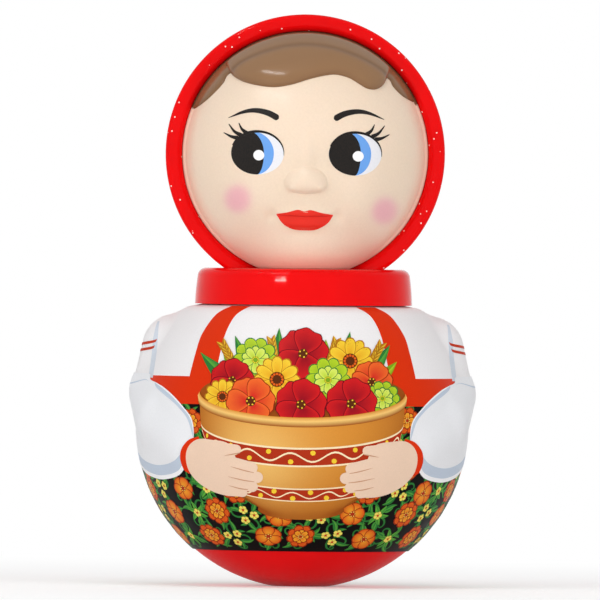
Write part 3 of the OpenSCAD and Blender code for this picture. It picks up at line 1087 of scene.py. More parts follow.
@dataclass
class Dress:
    """Printed dress: skirt ground, waistband, straps, sleeves and stripes."""

    form: BodyForm
    hem_z: float
    band_low: float = 66.9
    band_high: float = 77.0
    columns: int = 260
    strap: tuple[Triple, ...] = (
        (19.3, 26.1, 102.7), (22.6, 29.8, 101.0), (25.0, 32.4, 99.0), (27.1, 35.0, 95.6), (28.8, 37.4, 91.4),
        (30.0, 38.9, 86.6), (31.1, 40.3, 81.2), (32.0, 41.4, 76.2), (32.4, 42.0, 70.0))
    sleeve_front: Points = (
        (57.0, 39.4), (50.0, 40.9), (45.8, 44.0), (42.2, 50.0), (40.4, 55.2), (41.4, 61.5), (46.4, 66.3),
        (51.9, 69.9), (58.0, 72.6), (64.5, 74.3), (69.6, 75.1), (71.4, 75.8), (72.4, 77.2), (78.0, 77.5))
    sleeve_rear: Points = (
        (57.0, 39.4), (66.0, 39.2), (79.4, 41.5), (92.0, 46.0), (104.0, 55.0), (110.0, 66.0), (106.0, 74.5),
        (96.0, 77.4), (86.0, 77.6))
    sleeve_hem: Points = (
        (46.3, 43.4), (50.0, 40.9), (57.0, 39.4), (66.0, 39.2), (79.4, 41.5), (92.0, 46.0), (99.0, 50.6))
    rim_w: float = 0.75
    shade_w: float = 1.9
    hem_shade_w: float = 3.7
    stripe_heights: tuple[float, ...] = (89.3, 87.0)
    stripe_w: float = 1.0
    stripe_drop: float = 1.6
    stripe_turns: Pair = (79.4, 100.6)
    armhole_inner: Points = ((52.7, 96.6), (53.1, 94.6), (53.6, 86.0), (54.9, 76.0))
    armhole_places: Triple = (0.0, 0.3, 1.0)
    armhole_w: Triple = (0.7, 1.7, 1.6)
    trim_part: Pair = (0.33, 0.82)
    crease: Points = (
        (71.5, 74.7), (76.0, 75.2), (86.0, 73.9), (96.0, 73.6), (106.0, 74.4))
    crease_w: float = 0.5
    hem_gap: float = 0.05
    hem_edge_w: float = 1.5
    hem_fade: float = 0.3
    strap_points: int = 56
    trim_points: int = 40
    stripe_points: int = 60
    sleeve_points: int = 120
    hem_points: int = 70

    def build(self) -> Pieces:
        """Prints the dress.

        Returns:
            The piece with all of the dress's ink.
        """
        ink = Print(self.form)
        low, waist, top = (self._level(z) for z in (self.hem_z + self.hem_gap, self.band_low, self.band_high))
        ink.strip(self.form.wrap, low, waist, Layer.GROUND, Ink.SKIRT_BLACK, ring=True)
        ink.strip(self.form.wrap, waist, top, Layer.GROUND, Ink.DRESS_RED, ring=True)
        for side in (-1, 1):
            self._strap(ink, side)
            self._stripes(ink, side)
            self._sleeve(ink, side)
        return [ink.make("print_dress")]

    def _level(self, z: float) -> Array:
        """Gives a level line all round."""
        turns = np.linspace(0, 360, self.columns, endpoint=False)
        return np.stack([turns, np.full(self.columns, z)], -1)

    def _strap(self, ink: Print, side: int) -> None:
        """Prints one strap and the shading along the armhole beside it, in front and behind.

        Args:
            ink: Print to draw in.
            side: -1 for the left, 1 for the right.
        """
        edges = np.array(self.strap)
        inner, outer = (curve(mirrored(edges[:, [i, 2]], side), self.strap_points) for i in (0, 1))
        hole = curve(mirrored(self.armhole_inner, side), self.trim_points)
        width = np.interp(np.linspace(0, 1, self.trim_points), self.armhole_places, self.armhole_w)
        shade = hole + np.outer(width, [side, 0])
        for first, second, tone in ((inner, outer, Ink.DRESS_RED), (hole, shade, Ink.ARMHOLE_SHADE)):
            for facing in (-1, 1):
                ink.strip(self.form.facing(facing), first, second, Layer.STRAP, tone)

    def _stripes(self, ink: Print, side: int) -> None:
        """Prints the red stripes round the upper sleeve.

        Args:
            ink: Print to draw in.
            side: -1 for the left, 1 for the right.
        """
        turns = np.linspace(*self.stripe_turns, self.stripe_points)
        away = np.clip(1 - np.abs(turns - 90) / (90 - self.stripe_turns[0]), 0, 1)
        for height in self.stripe_heights:
            line = mirrored(np.stack([turns, height - self.stripe_drop * np.sqrt(away)], -1), side)
            ink.strip(self.form.wrap, line, line + np.array([0, self.stripe_w]), Layer.STRIPE, Ink.STRIPE_RED)

    def _sleeve(self, ink: Print, side: int) -> None:
        """Prints one sleeve with its pale edges and the shading inside them.

        Args:
            ink: Print to draw in.
            side: -1 for the left, 1 for the right.
        """
        lay, count = self.form.wrap, self.sleeve_points
        front, rear = (curve(mirrored(edge, side), count) for edge in (self.sleeve_front, self.sleeve_rear))
        ink.strip(lay, front, rear, Layer.SLEEVE, Ink.SLEEVE_WHITE)
        start, stop = (round(count * share) for share in self.trim_part)
        edge = front[start:stop]
        share = np.linspace(0, 1, len(edge))[:, None]
        inward = np.array([side, 0.0]) + np.array([0, -1.0]) * np.clip(1.6 * share - 0.6, 0, 1)
        inward = inward * (0.04 + np.sin(math.pi * share) ** 0.6)
        self._trim(ink, edge, inward, self.rim_w, self.shade_w, Layer.TRIM)
        hem = curve(mirrored(self.sleeve_hem, side), self.hem_points)
        fade = np.clip((1 - np.linspace(0, 1, self.hem_points)) / self.hem_fade, 0.02, 1) ** 0.7
        self._trim(ink, hem, np.outer(fade, [0, 1]), self.hem_edge_w, self.hem_shade_w, Layer.FOLD)
        fold = curve(mirrored(self.crease, side), self.trim_points)
        width = self.crease_w * np.sin(np.linspace(0.1, math.pi - 0.1, self.trim_points))
        ink.line(lay, fold, width, Layer.FOLD, Ink.SLEEVE_SHADE)

    def _trim(self, ink: Print, edge: Array, inward: Array, pale: float, shade: float, layer: float) -> None:
        """Prints a pale rim along a sleeve's edge and a shade inside it.

        Args:
            ink: Print to draw in.
            edge: Points of the edge.
            inward: Way inwards at each point, shorter where the trim tapers.
            pale: Width of the rim.
            shade: Width of the shade.
            layer: Layer of both.
        """
        first, last = edge + inward * pale, edge + inward * (pale + shade)
        ink.strip(self.form.wrap, edge, first, layer, Ink.SLEEVE_EDGE)
        ink.strip(self.form.wrap, first, last, layer, Ink.SLEEVE_SHADE)


@dataclass
class Hands:
    """Printed hands with their cuffs, laid over what they hold."""

    form: BodyForm
    palm: Points = (
        (37.4, 54.0), (32.6, 53.8), (26.4, 52.4), (23.6, 46.6), (22.0, 40.0), (22.0, 34.4), (25.0, 33.5),
        (31.0, 34.7), (36.8, 37.9), (40.7, 42.4), (42.0, 47.6), (40.8, 51.6))
    thumb: tuple[Pair, Pair] = ((31.0, 51.4), (23.6, 50.5))
    thumb_w: float = 3.4
    roots: Points = ((25.5, 45.9), (25.0, 42.3), (25.2, 38.6), (25.6, 35.5))
    tips: Points = ((17.8, 43.9), (15.9, 40.5), (17.6, 37.1), (21.0, 34.9))
    widths: tuple[float, ...] = (4.0, 4.1, 3.9, 3.2)
    creases: tuple[Points, ...] = (
        ((17.2, 42.2), (21.0, 43.0), (25.6, 44.3)), ((17.0, 38.9), (21.0, 39.4), (26.4, 40.6)),
        ((19.2, 36.0), (22.4, 36.4), (26.2, 37.4)), ((22.4, 49.2), (25.2, 48.7), (27.8, 48.2)))
    crease_w: float = 0.34
    cuff_outer: Points = (
        (37.4, 55.0), (41.0, 53.6), (43.6, 50.4), (44.0, 46.6), (42.6, 42.9), (40.6, 41.4))
    cuff_inner: Points = (
        (36.9, 53.6), (38.6, 52.0), (40.6, 49.6), (41.0, 46.8), (40.4, 43.6), (39.8, 41.6))

    def build(self) -> Pieces:
        """Prints both hands and cuffs.

        Returns:
            The piece with their ink.
        """
        ink = Print(self.form, 0.9)
        lay = self.form.facing(-1)
        for side in (-1, 1):
            outer, inner = (curve(mirrored(edge, side), 40) for edge in (self.cuff_outer, self.cuff_inner))
            ink.strip(lay, outer, inner, Layer.CUFF, Ink.DRESS_RED)
            ink.blot(lay, curve(mirrored(self.palm, side), 90, closed=True), Layer.PALM, Ink.HAND)
            for i, (root, tip, width) in enumerate(zip(self.roots, self.tips, self.widths)):
                level = Layer.FINGER + i % 2
                self._finger(ink, lay, mirrored(root, side), mirrored(tip, side), width, level)
            self._finger(ink, lay, *mirrored(self.thumb, side), self.thumb_w, Layer.FINGER)
            for crease in self.creases:
                path = curve(mirrored(crease, side), 16)
                width = self.crease_w * np.sin(np.linspace(0.5, math.pi - 0.1, 16)) + 0.04
                ink.line(lay, path, width, Layer.CREASE, Ink.HAND_LINE)
        return [ink.make("print_hands")]

    @staticmethod
    def _finger(ink: Print, lay: Lay, start: Array, end: Array, width: float, layer: float) -> None:
        """Prints one finger with round ends.

        Args:
            ink: Print to draw in.
            lay: Gives the rays.
            start: Middle of the finger's root.
            end: Middle of its tip.
            width: Its width.
            layer: Its layer.
        """
        along = unit(end - start)
        across = np.array([-along[1], along[0]])
        turn = np.linspace(-math.pi / 2, math.pi / 2, 12)[:, None]
        bow = width / 2 * (np.cos(turn) * along + np.sin(turn) * across)
        ink.blot(lay, np.vstack([end + bow, start - bow]), layer, Ink.HAND)


@dataclass(frozen=True)
class Blossom:
    """Flower of one or two rows of petals with a heart of seeds."""

    petals: int
    size: float
    wide: float
    edge: Ink
    core: Ink
    rim: Ink
    heart: Ink
    seeds: Ink
    inner: Ink | None = None
    heart_share: float = 0.26
    rim_w: float = 0.3
    crimp: float = 0.0
    inner_share: float = 0.62
    row_step: float = 1.2
    petal_step: float = 0.4
    seed_place: float = 0.72
    seed_r: float = 0.17

    def petal(self, length: float, angle: float, squash: float) -> Array:
        """Gives a petal's outline, narrow at the heart and full at its end.

        Args:
            length: Length from the middle of the flower.
            angle: Direction in radians.
            squash: Height as a share of the width.

        Returns:
            Closed outline.
        """
        t = full_turn(40)
        along = length * (1 - np.cos(t)) / 2 * (1 + self.crimp * np.sin(7 * t) * np.sin(t / 2) ** 4)
        across = self.wide * length / 2 * np.sin(t) * (1 - 0.45 * np.cos(t))
        c, s = math.cos(angle), math.sin(angle)
        return np.stack([along * c - across * s, (along * s + across * c) * squash], -1)

    def draw(self, ink: Print, lay: Lay, layer: float, squash: float = 1.0) -> None:
        """Prints the flower round the middle of its place.

        Args:
            ink: Print to draw in.
            lay: Gives the rays round that place.
            layer: Lowest layer; the flower takes up to three.
            squash: Height as a share of the width, for a flower seen from the side.
        """
        rows = [(self.size, self.edge, self.core)]
        if self.inner:
            rows.append((self.size * self.inner_share, self.inner, self.edge))
        for row, (length, edge, core) in enumerate(rows):
            for i in range(self.petals):
                phase = 2 if self.petals % 2 and i == self.petals - 1 else i % 2
                level = layer + self.row_step * row + self.petal_step * phase
                outline = self.petal(length, 2 * math.pi * (i + 0.5 * row) / self.petals, squash)
                middle = outline.mean(0)
                grown = middle + (outline - middle) * (1 + 2 * self.rim_w / (self.wide * length))
                ink.blot(lay, grown, level, self.rim)
                ink.blot(lay, outline, level + self.petal_step / 2, edge, core, middle * 0.3)
        top = layer + self.row_step * len(rows) + 0.1
        heart = self.size * self.heart_share
        ink.blot(lay, ellipse(0, 0, heart, heart * squash), top, self.heart)
        for i in range(self.petals):
            x, z = heart * self.seed_place * heading(2 * math.pi * i / self.petals)
            seed = ellipse(x, z * squash, heart * self.seed_r, heart * self.seed_r, 7)
            ink.blot(lay, seed, top + 0.3, self.seeds)


@dataclass(frozen=True)
class Leaf:
    """Curved pointed leaf in two tones."""

    length: float
    wide: float
    bend: float
    dark: Ink = Ink.LEAF_GREEN
    bright: Ink = Ink.LEAF_LIGHT

    def draw(self, ink: Print, lay: Lay, layer: float, angle: float, start: Sequence[float] = (0, 0)) -> None:
        """Prints the leaf from a point outwards.

        Args:
            ink: Print to draw in.
            lay: Gives the rays round the leaf's place.
            layer: Layer of the leaf.
            angle: Direction in degrees.
            start: Point where the leaf grows.
        """
        count = max(9, math.ceil(self.length / ink.grain))
        share = np.linspace(0, 1, count)
        way = math.radians(angle) + self.bend * share
        steps = heading(way) * self.length / (count - 1)
        middle = np.asarray(start, float) + np.vstack([[0, 0], np.cumsum(steps[:-1], axis=0)])
        side = np.stack([-np.sin(way), np.cos(way)], -1)
        half = side * (self.wide / 2 * np.sin(math.pi * share**0.8)[:, None] + 0.05)
        ink.strip(lay, middle + half, middle, layer, self.dark)
        ink.strip(lay, middle, middle - half, layer, self.bright, self.dark)


def tendril(ink: Print, lay: Lay, layer: float, size: float, angle: float, turn: int, tone: Ink) -> None:
    """Prints a curl that winds up at its end.

    Args:
        ink: Print to draw in.
        lay: Gives the rays round the curl's place.
        layer: Layer of the line.
        size: Reach of the curl.
        angle: Direction in which it sets out, in degrees.
        turn: 1 to wind to the left, -1 to the right.
        tone: Colour.
    """
    share = np.linspace(0, 1, 24)
    way = math.radians(angle) + turn * 5.4 * share**1.7
    steps = heading(way) * (size * 1.9 * (1.12 - share) / len(share))[:, None]
    ink.line(lay, np.cumsum(steps, axis=0), 0.7 * (1 - share) + 0.3, layer, tone)


class Cluster(Enum):
    """Kinds of cluster in the skirt's pattern."""

    FULL_FLOWER = 0
    POSY = 1
    WIDE_FLOWER = 2
    SPRAY = 3


@dataclass
class SkirtPattern:
    """Flowers, posies, leaves and curls in rows all round the black skirt."""

    form: BodyForm
    hem: float
    waist: float
    row_gap: float = 8.8
    column_gap: float = 12.4
    margins: Pair = (5.4, 5.6)
    leaf_widths: Pair = (1.8, 1.3)
    leaf_turns: Pair = (14.0, -34.0)
    leaf_starts: Pair = (2.4, 2.6)
    leaf_bend: float = 0.9
    curl_size: float = 8.4
    curl_turn: float = 62.0
    posy_gap: float = 2.6
    arm_rise: float = 0.4
    seed: int = 12
    full: Blossom = Blossom(8, 5.4, 0.6, Ink.PETAL_ORANGE, Ink.PETAL_RED, Ink.PETAL_RUST, Ink.HEART_RED,
                            Ink.POSY_YELLOW, Ink.PETAL_GOLD, 0.24)
    broad: Blossom = Blossom(6, 5.0, 0.86, Ink.PETAL_ORANGE, Ink.PETAL_GOLD, Ink.PETAL_RUST, Ink.HEART_RED,
                             Ink.POSY_YELLOW, None, 0.3)
    posy: Blossom = Blossom(5, 1.8, 0.85, Ink.POSY_YELLOW, Ink.POSY_YELLOW, Ink.LEAF_DEEP, Ink.PETAL_RED,
                            Ink.PETAL_RED, None, 0.3, 0.12)

    def build(self) -> Pieces:
        """Prints the pattern.

        Returns:
            The piece with its ink.
        """
        ink = Print(self.form, 1.4)
        chance = random.Random(self.seed)
        low, high = self.hem + self.margins[0], self.waist - self.margins[1]
        rows = round((high - low) / self.row_gap)
        for row in range(rows + 1):
            height = low + (high - low) * row / rows
            reach = math.sqrt(self.form.ball_r**2 - (height - self.form.ball_z) ** 2)
            count = round(2 * math.pi * reach / self.column_gap)
            for i in range(count):
                turn = 360 * (i + 0.5 * (row % 2)) / count + chance.uniform(-2.0, 2.0)
                spot = np.array([[turn, height + chance.uniform(-0.8, 0.8)]])
                place, out = self.form.land(*self.form.wrap(spot))
                spin = chance.uniform(0, 360)
                rise = np.linalg.norm(place[0] - self.form.middle) - self.form.ball_r - self.form.film_out
                if rise < self.arm_rise:
                    lay = self.form.stamp(place[0], out[0], spin, self.hem, self.waist)
                    self._cluster(ink, lay, Cluster((i + row) % 4), chance)
        return [ink.make("print_skirt_flowers")]

    def _cluster(self, ink: Print, lay: Lay, kind: Cluster, chance: random.Random) -> None:
        """Prints one cluster among its leaves and curls.

        Args:
            ink: Print to draw in.
            lay: Gives the rays round the cluster's place.
            kind: Kind of cluster.
            chance: Source of small changes.
        """
        for i in range(3):
            angle = chance.uniform(-15, 15) + 120 * i
            bend = chance.choice((-self.leaf_bend, self.leaf_bend))
            way = heading(math.radians(angle))
            lengths = (chance.uniform(5.4, 7.0), chance.uniform(3.6, 4.8))
            leaves = (Leaf(lengths[0], self.leaf_widths[0], bend), Leaf(lengths[1], self.leaf_widths[1], -bend))
            layers = (Layer.LEAF, Layer.SMALL_LEAF)
            for leaf, layer, turn, start in zip(leaves, layers, self.leaf_turns, self.leaf_starts):
                leaf.draw(ink, lay, layer, angle + turn, way * start)
            winding = 1 if i % 2 else -1
            tendril(ink, lay, Layer.CURL, self.curl_size, angle + self.curl_turn, winding, Ink.LEAF_GREEN)
        if kind is Cluster.FULL_FLOWER:
            self.full.draw(ink, lay, Layer.FLOWER, chance.uniform(0.8, 1.0))
        elif kind is Cluster.WIDE_FLOWER:
            self.broad.draw(ink, lay, Layer.FLOWER, chance.uniform(0.8, 1.0))
        elif kind is Cluster.POSY:
            for angle in (90, 210, 330):
                self.posy.draw(ink, shifted(lay, self.posy_gap * heading(math.radians(angle))), Layer.FLOWER)
        else:
            leaf = Leaf(5.0, 1.7, 0.5, Ink.LEAF_LIGHT, Ink.LEAF_GREEN)
            for angle in range(0, 360, 60):
                leaf.draw(ink, lay, Layer.FLOWER, angle)
            self.posy.draw(ink, lay, Layer.POSY)


@dataclass
class FlowerBowl:
    """Printed clay bowl with ornament bands, and the flowers that fill it."""

    form: BodyForm
    tilt: float = 0.24
    profile: Points = (
        (36.6, 70.0), (37.0, 65.5), (36.3, 58.0), (34.0, 50.0), (29.6, 42.0), (23.6, 35.6), (17.4, 31.6),
        (15.4, 30.0), (15.6, 29.0))
    lip_r: float = 37.8
    lip_top: float = 71.2
    lip_edges: Points = ((-0.6, 0.0), (0.0, -1.3), (-0.2, -3.4))
    rows: int = 50
    columns: int = 80
    band_places: Pair = (0.27, 0.62)
    band_half: float = 0.07
    line_share: float = 0.014
    samples: int = 200
    glow_most: float = 0.75
    glow_at: Pair = (-0.45, 0.3)
    glow_size: Pair = (0.5, 0.35)
    gloom: Pair = (0.62, 0.75)
    waves: int = 14
    dot_r: float = 0.95
    dot_places: Pair = (-0.42, 0.6)
    leaf_turns: Pair = (30.0, 150.0)
    leaf_count: int = 12
    leaf_root: Pair = (20.0, 69.0)
    leaf_lengths: Pair = (22.0, 26.0)
    leaf_w: float = 6.5
    leaf_bend: float = 0.35
    row_step: float = 2.3
    ears: Points = ((-9.0, 100.0), (8.5, 76.0), (21.5, 62.0), (-22.0, 120.0))
    ear_z: float = 76.0
    ear_stalk: float = 9.0
    grain_from: float = 4.5
    grain_gap: float = 1.7
    grain_turn: float = 24.0
    grains: int = 6

    def build(self) -> Pieces:
        """Prints the bowl and its flowers.

        Returns:
            The bowl's piece and the flowers' piece.
        """
        bowl = Print(self.form)
        self._mouth(bowl)
        self._side(bowl)
        for place in self.band_places:
            self._band(bowl, place)
        self._lip(bowl)
        flowers = Print(self.form)
        self._bouquet(flowers)
        return [bowl.make("print_bowl"), flowers.make("print_bouquet")]

    def _seen(self, reach: Array | float, height: Array | float, angle: Array | float) -> Array:
        """Gives where a point of the round bowl is seen, from a little above.

        Args:
            reach: Distance from the bowl's axis.
            height: Height over the sole.
            angle: Turn from the front in radians.

        Returns:
            Flat points (x, z).
        """
        return np.stack([reach * np.sin(angle), height - self.tilt * reach * np.cos(angle)], -1)

    @property
    def _angles(self) -> Array:
        """Turns across the bowl's front."""
        return np.linspace(-math.pi / 2, math.pi / 2, self.columns)

    def _at(self, place: Array | float, angle: Array | float) -> Array:
        """Gives a point of the side.

        Args:
            place: Share of the bowl's depth, from the lip down.
            angle: Turn from the front in radians.

        Returns:
            Flat points (x, z).
        """
        line = curve(self.profile, self.samples)
        step = np.clip(place, 0, 1) * (self.samples - 1)
        reach, height = (np.interp(step, np.arange(self.samples), line[:, i]) for i in (0, 1))
        return self._seen(reach, height, angle)

    def _side(self, ink: Print) -> None:
        """Prints the side as a round form, lit from the upper left and dark to the right and below.

        Args:
            ink: Print to draw in.
        """
        down, angle = np.meshgrid(np.linspace(0, 1, self.rows), self._angles, indexing="ij")
        (turn, depth), (wide, high) = self.glow_at, self.glow_size
        glow = self.glow_most * np.exp(-(((angle - turn) / wide) ** 2) - ((down - depth) / high) ** 2)
        gloom = self.gloom[0] * np.abs(np.sin(angle)) ** 3 + self.gloom[1] * down**2
        clay = mix(mix(Ink.BOWL_TAN.light, Ink.BOWL_BROWN.light, gloom), Ink.BOWL_LIGHT.light, glow)
        ink.put(self.form.facing(-1), self._at(down, angle), Layer.BOWL, clay)

    def _band(self, ink: Print, place: float) -> None:
        """Prints one ornament band: pale lines, a wave between them and dots.

        Args:
            ink: Print to draw in.
            place: Middle of the band as a share of the bowl's depth.
        """
        lay, angle = self.form.facing(-1), self._angles
        low, high, thin = place - self.band_half, place + self.band_half, self.line_share
        ink.strip(lay, self._at(low, angle), self._at(high, angle), Layer.BAND, Ink.HEART_RED)
        wave = place + 0.5 * self.band_half * np.sin(angle * self.waves)
        for line in (low + 0 * angle, high + 0 * angle, wave):
            ink.strip(lay, self._at(line, angle), self._at(line + thin, angle), Layer.ORNAMENT, Ink.BOWL_CREAM)
        for i in range(-6, 6):
            turn = (i + 0.5) * math.pi / self.waves
            x, z = self._at(place + self.dot_places[i % 2] * self.band_half, turn)
            dot = ellipse(x, z, self.dot_r * math.cos(turn) + 0.1, self.dot_r)
            ink.blot(lay, dot, Layer.ORNAMENT, Ink.DAISY_YELLOW)

    def _lip(self, ink: Print) -> None:
        """Prints the rolled lip of the bowl.

        Args:
            ink: Print to draw in.
        """
        lay, angle = self.form.facing(-1), self._angles
        edges = (self._seen(self.lip_r + out, self.lip_top + up, angle) for out, up in self.lip_edges)
        top, middle, low = edges
        ink.strip(lay, top, middle, Layer.LIP, Ink.BOWL_TAN, Ink.BOWL_LIGHT)
        ink.strip(lay, middle, low, Layer.LIP, Ink.BOWL_LIGHT, Ink.BOWL_BROWN)

    def _mouth(self, ink: Print) -> None:
        """Prints the dark mouth of the bowl."""
        outline = ellipse(0, self.lip_top - 0.6, self.lip_r - 0.4, self.lip_r * self.tilt, 60)
        ink.blot(self.form.facing(-1), outline, Layer.MOUTH, Ink.BOWL_BROWN, Ink.BOWL_INSIDE)

    def _bouquet(self, ink: Print) -> None:
        """Prints leaves and ears, then the flowers from the back row to the front row.

        Args:
            ink: Print to draw in.
        """
        lay = self.form.facing(-1)
        for i, angle in enumerate(np.linspace(*self.leaf_turns, self.leaf_count)):
            root = (self.leaf_root[0] * math.cos(math.radians(angle)), self.leaf_root[1])
            tones = (Ink.LEAF_GREEN, Ink.LEAF_LIGHT) if i % 2 else (Ink.LIME_DEEP, Ink.LIME)
            bend = self.leaf_bend if angle < 90 else -self.leaf_bend
            leaf = Leaf(self.leaf_lengths[i % 2], self.leaf_w, bend, *tones)
            leaf.draw(ink, lay, Layer.BOUQUET_LEAF + 0.5 * (i % 2), angle, root)
        for x, angle in self.ears:
            self._ear(ink, lay, x, angle)
        poppy = Blossom(5, 9.0, 1.05, Ink.POPPY_RED, Ink.POPPY_DEEP, Ink.POPPY_SHADE, Ink.SEED_BROWN,
                        Ink.DAISY_YELLOW, None, 0.2, 0.3, 0.05)
        warm = Blossom(6, 8.6, 0.9, Ink.POPPY_ORANGE, Ink.POPPY_RED, Ink.PETAL_RUST, Ink.SEED_BROWN,
                       Ink.DAISY_YELLOW, None, 0.22, 0.3, 0.04)
        daisy = Blossom(12, 8.2, 0.42, Ink.DAISY_YELLOW, Ink.DAISY_GOLD, Ink.DAISY_DEEP, Ink.SEED_BROWN,
                        Ink.PETAL_ORANGE, None, 0.34, 0.2)
        lime = Blossom(10, 8.0, 0.5, Ink.LIME, Ink.LIME_DEEP, Ink.LEAF_GREEN, Ink.LIME_DEEP, Ink.DAISY_YELLOW,
                       Ink.LIME_PALE, 0.18, 0.2)
        rows = (
            ((-17.2, 83.0, lime), (0.0, 85.5, poppy), (17.2, 83.0, daisy)),
            ((-25.6, 75.5, replace(poppy, size=7.6)), (-9.3, 76.0, daisy), (9.2, 76.0, lime),
             (25.1, 75.5, replace(warm, size=7.4))),
            ((-29.0, 69.5, replace(daisy, size=6.2)), (29.0, 69.5, replace(lime, size=6.2))),
            ((-18.7, 68.0, warm), (-0.5, 67.0, poppy), (17.7, 67.5, poppy)))
        for row, flowers in enumerate(rows):
            for x, z, flower in flowers:
                flower.draw(ink, shifted(lay, np.array([x, z])), Layer.BOUQUET + self.row_step * row)

    def _ear(self, ink: Print, lay: Lay, x: float, angle: float) -> None:
        """Prints one ear of wheat.

        Args:
            ink: Print to draw in.
            lay: Gives the rays.
            x: Place of the stem's foot across the bowl.
            angle: Direction of the stem in degrees.
        """
        way = heading(math.radians(angle))
        foot = np.array([x, self.ear_z])
        path = foot + way * np.linspace(0, self.ear_stalk, 9)[:, None]
        ink.line(lay, path, 0.5, Layer.STALK, Ink.DAISY_DEEP)
        grain = Leaf(3.6, 1.6, 0.0, Ink.DAISY_DEEP, Ink.DAISY_YELLOW)
        for i in range(self.grains):
            start = foot + way * (self.grain_from + self.grain_gap * i)
            for turn in (-self.grain_turn, self.grain_turn):
                grain.draw(ink, lay, Layer.EAR, angle + turn, start)


@dataclass(frozen=True)
class Swell:
    """Round swelling of the face, or a hollow where its height is negative.

    A power above 1 makes it fuller, with steeper sides. One with an axis lies on both sides of it.
    """

    height: float
    at: Pair
    spread: Pair
    power: float = 1.0
    axis: float | None = None

    def rise(self, x: Array, z: Array) -> Array:
        """Gives how far the face swells.

        Args:
            x: Places across, from the middle of the face.
            z: Places up.

        Returns:
            Height at each place.
        """
        across = x if self.axis is None else np.abs(x - self.axis)
        away = ((across - self.at[0]) / self.spread[0]) ** 2 + ((z - self.at[1]) / self.spread[1]) ** 2
        return self.height * np.exp(-(away**self.power))


@dataclass
class FaceForm:
    """Front of the face mask: a dome with nose, lips, cheeks and chin in relief.

    The nose is a domed button, given by its half width and by how far it goes up and down.
    """

    centre_z: float
    radius: float
    floor_z: float
    wall: float = 2.0
    nose_at: Pair = (0.4, -10.6)
    nose_size: Triple = (7.9, 5.9, 3.9)
    nose_h: float = 3.9
    nose_dome: float = 0.8
    wings: Swell = Swell(0.9, (5.6, -12.0), (1.9, 1.8), axis=0.4)
    bridge: Swell = Swell(1.7, (0.2, -1.0), (3.4, 7.0))
    sockets: Swell = Swell(-1.0, (13.5, -2.0), (6.5, 8.0), axis=0.0)
    cheeks: Swell = Swell(1.3, (21.0, -18.0), (8.5, 7.5), axis=0.0)
    lip_groove: Swell = Swell(-0.3, (0.0, -17.2), (1.2, 2.2))
    upper_lip: Swell = Swell(1.5, (0.0, -21.2), (7.0, 1.4), 1.2)
    lower_lip: Swell = Swell(1.8, (0.0, -24.8), (6.2, 1.9), 1.2)
    lip_corners: Swell = Swell(-0.8, (12.2, -22.6), (1.8, 2.4), axis=0.0)
    chin: Swell = Swell(5.0, (0.0, -40.0), (19.0, 9.0), 1.3)
    chin_fold: Swell = Swell(-0.5, (0.0, -29.0), (6.0, 1.3))

    @classmethod
    def from_frame(cls, rim_r: float = 51.3, rim_band: float = 6.1, gap: float = 0.4) -> "FaceForm":
        """Takes the dome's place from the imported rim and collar.

        Args:
            rim_r: Radius of the rim round the face.
            rim_band: Width of that rim.
            gap: Gap between rim and face.

        Returns:
            The form.
        """
        low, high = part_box("hood_rim")
        return cls(high.z / MM - rim_r, rim_r - rim_band - gap, low.z / MM)

    @property
    def middle(self) -> Array:
        """Middle of the dome."""
        return np.array([0, 0, self.centre_z])

    def relief(self, x: Array, z: Array) -> Array:
        """Gives how far the features stand out of the dome.

        Args:
            x: Places across, from the middle of the face.
            z: Places up.

        Returns:
            Height at each place.
        """
        wide, up, down = self.nose_size
        rise = (z - self.nose_at[1]) / np.where(z > self.nose_at[1], up, down)
        nose = np.maximum(1 - ((x - self.nose_at[0]) / wide) ** 2 - rise**2, 0) ** self.nose_dome
        swells = (self.wings, self.bridge, self.sockets, self.cheeks, self.lip_groove, self.upper_lip,
                  self.lower_lip, self.lip_corners, self.chin, self.chin_fold)
        return self.nose_h * nose + sum(swell.rise(x, z) for swell in swells)

    def rays(self, spots: Array) -> Rays:
        """Carries flat points of the face outwards from the dome's middle.

        Args:
            spots: Flat points (x, z).

        Returns:
            Start and direction of each ray.
        """
        x, z = spots[..., 0], spots[..., 1]
        depth = np.sqrt(np.maximum(self.radius**2 - x**2 - z**2, 0.01))
        way = unit(np.stack([x, -depth, z], -1))
        return np.broadcast_to(self.middle, way.shape), way

    def land(self, start: Array, along: Array) -> tuple[Array, Array]:
        """Finds where rays from the dome's middle meet the face.

        Args:
            start: Start of each ray.
            along: Its direction.

        Returns:
            Points on the face, and the outward directions there.
        """
        x, z = along[..., 0] * self.radius, along[..., 2] * self.radius
        return start + along * (self.radius + self.relief(x, z))[..., None], along


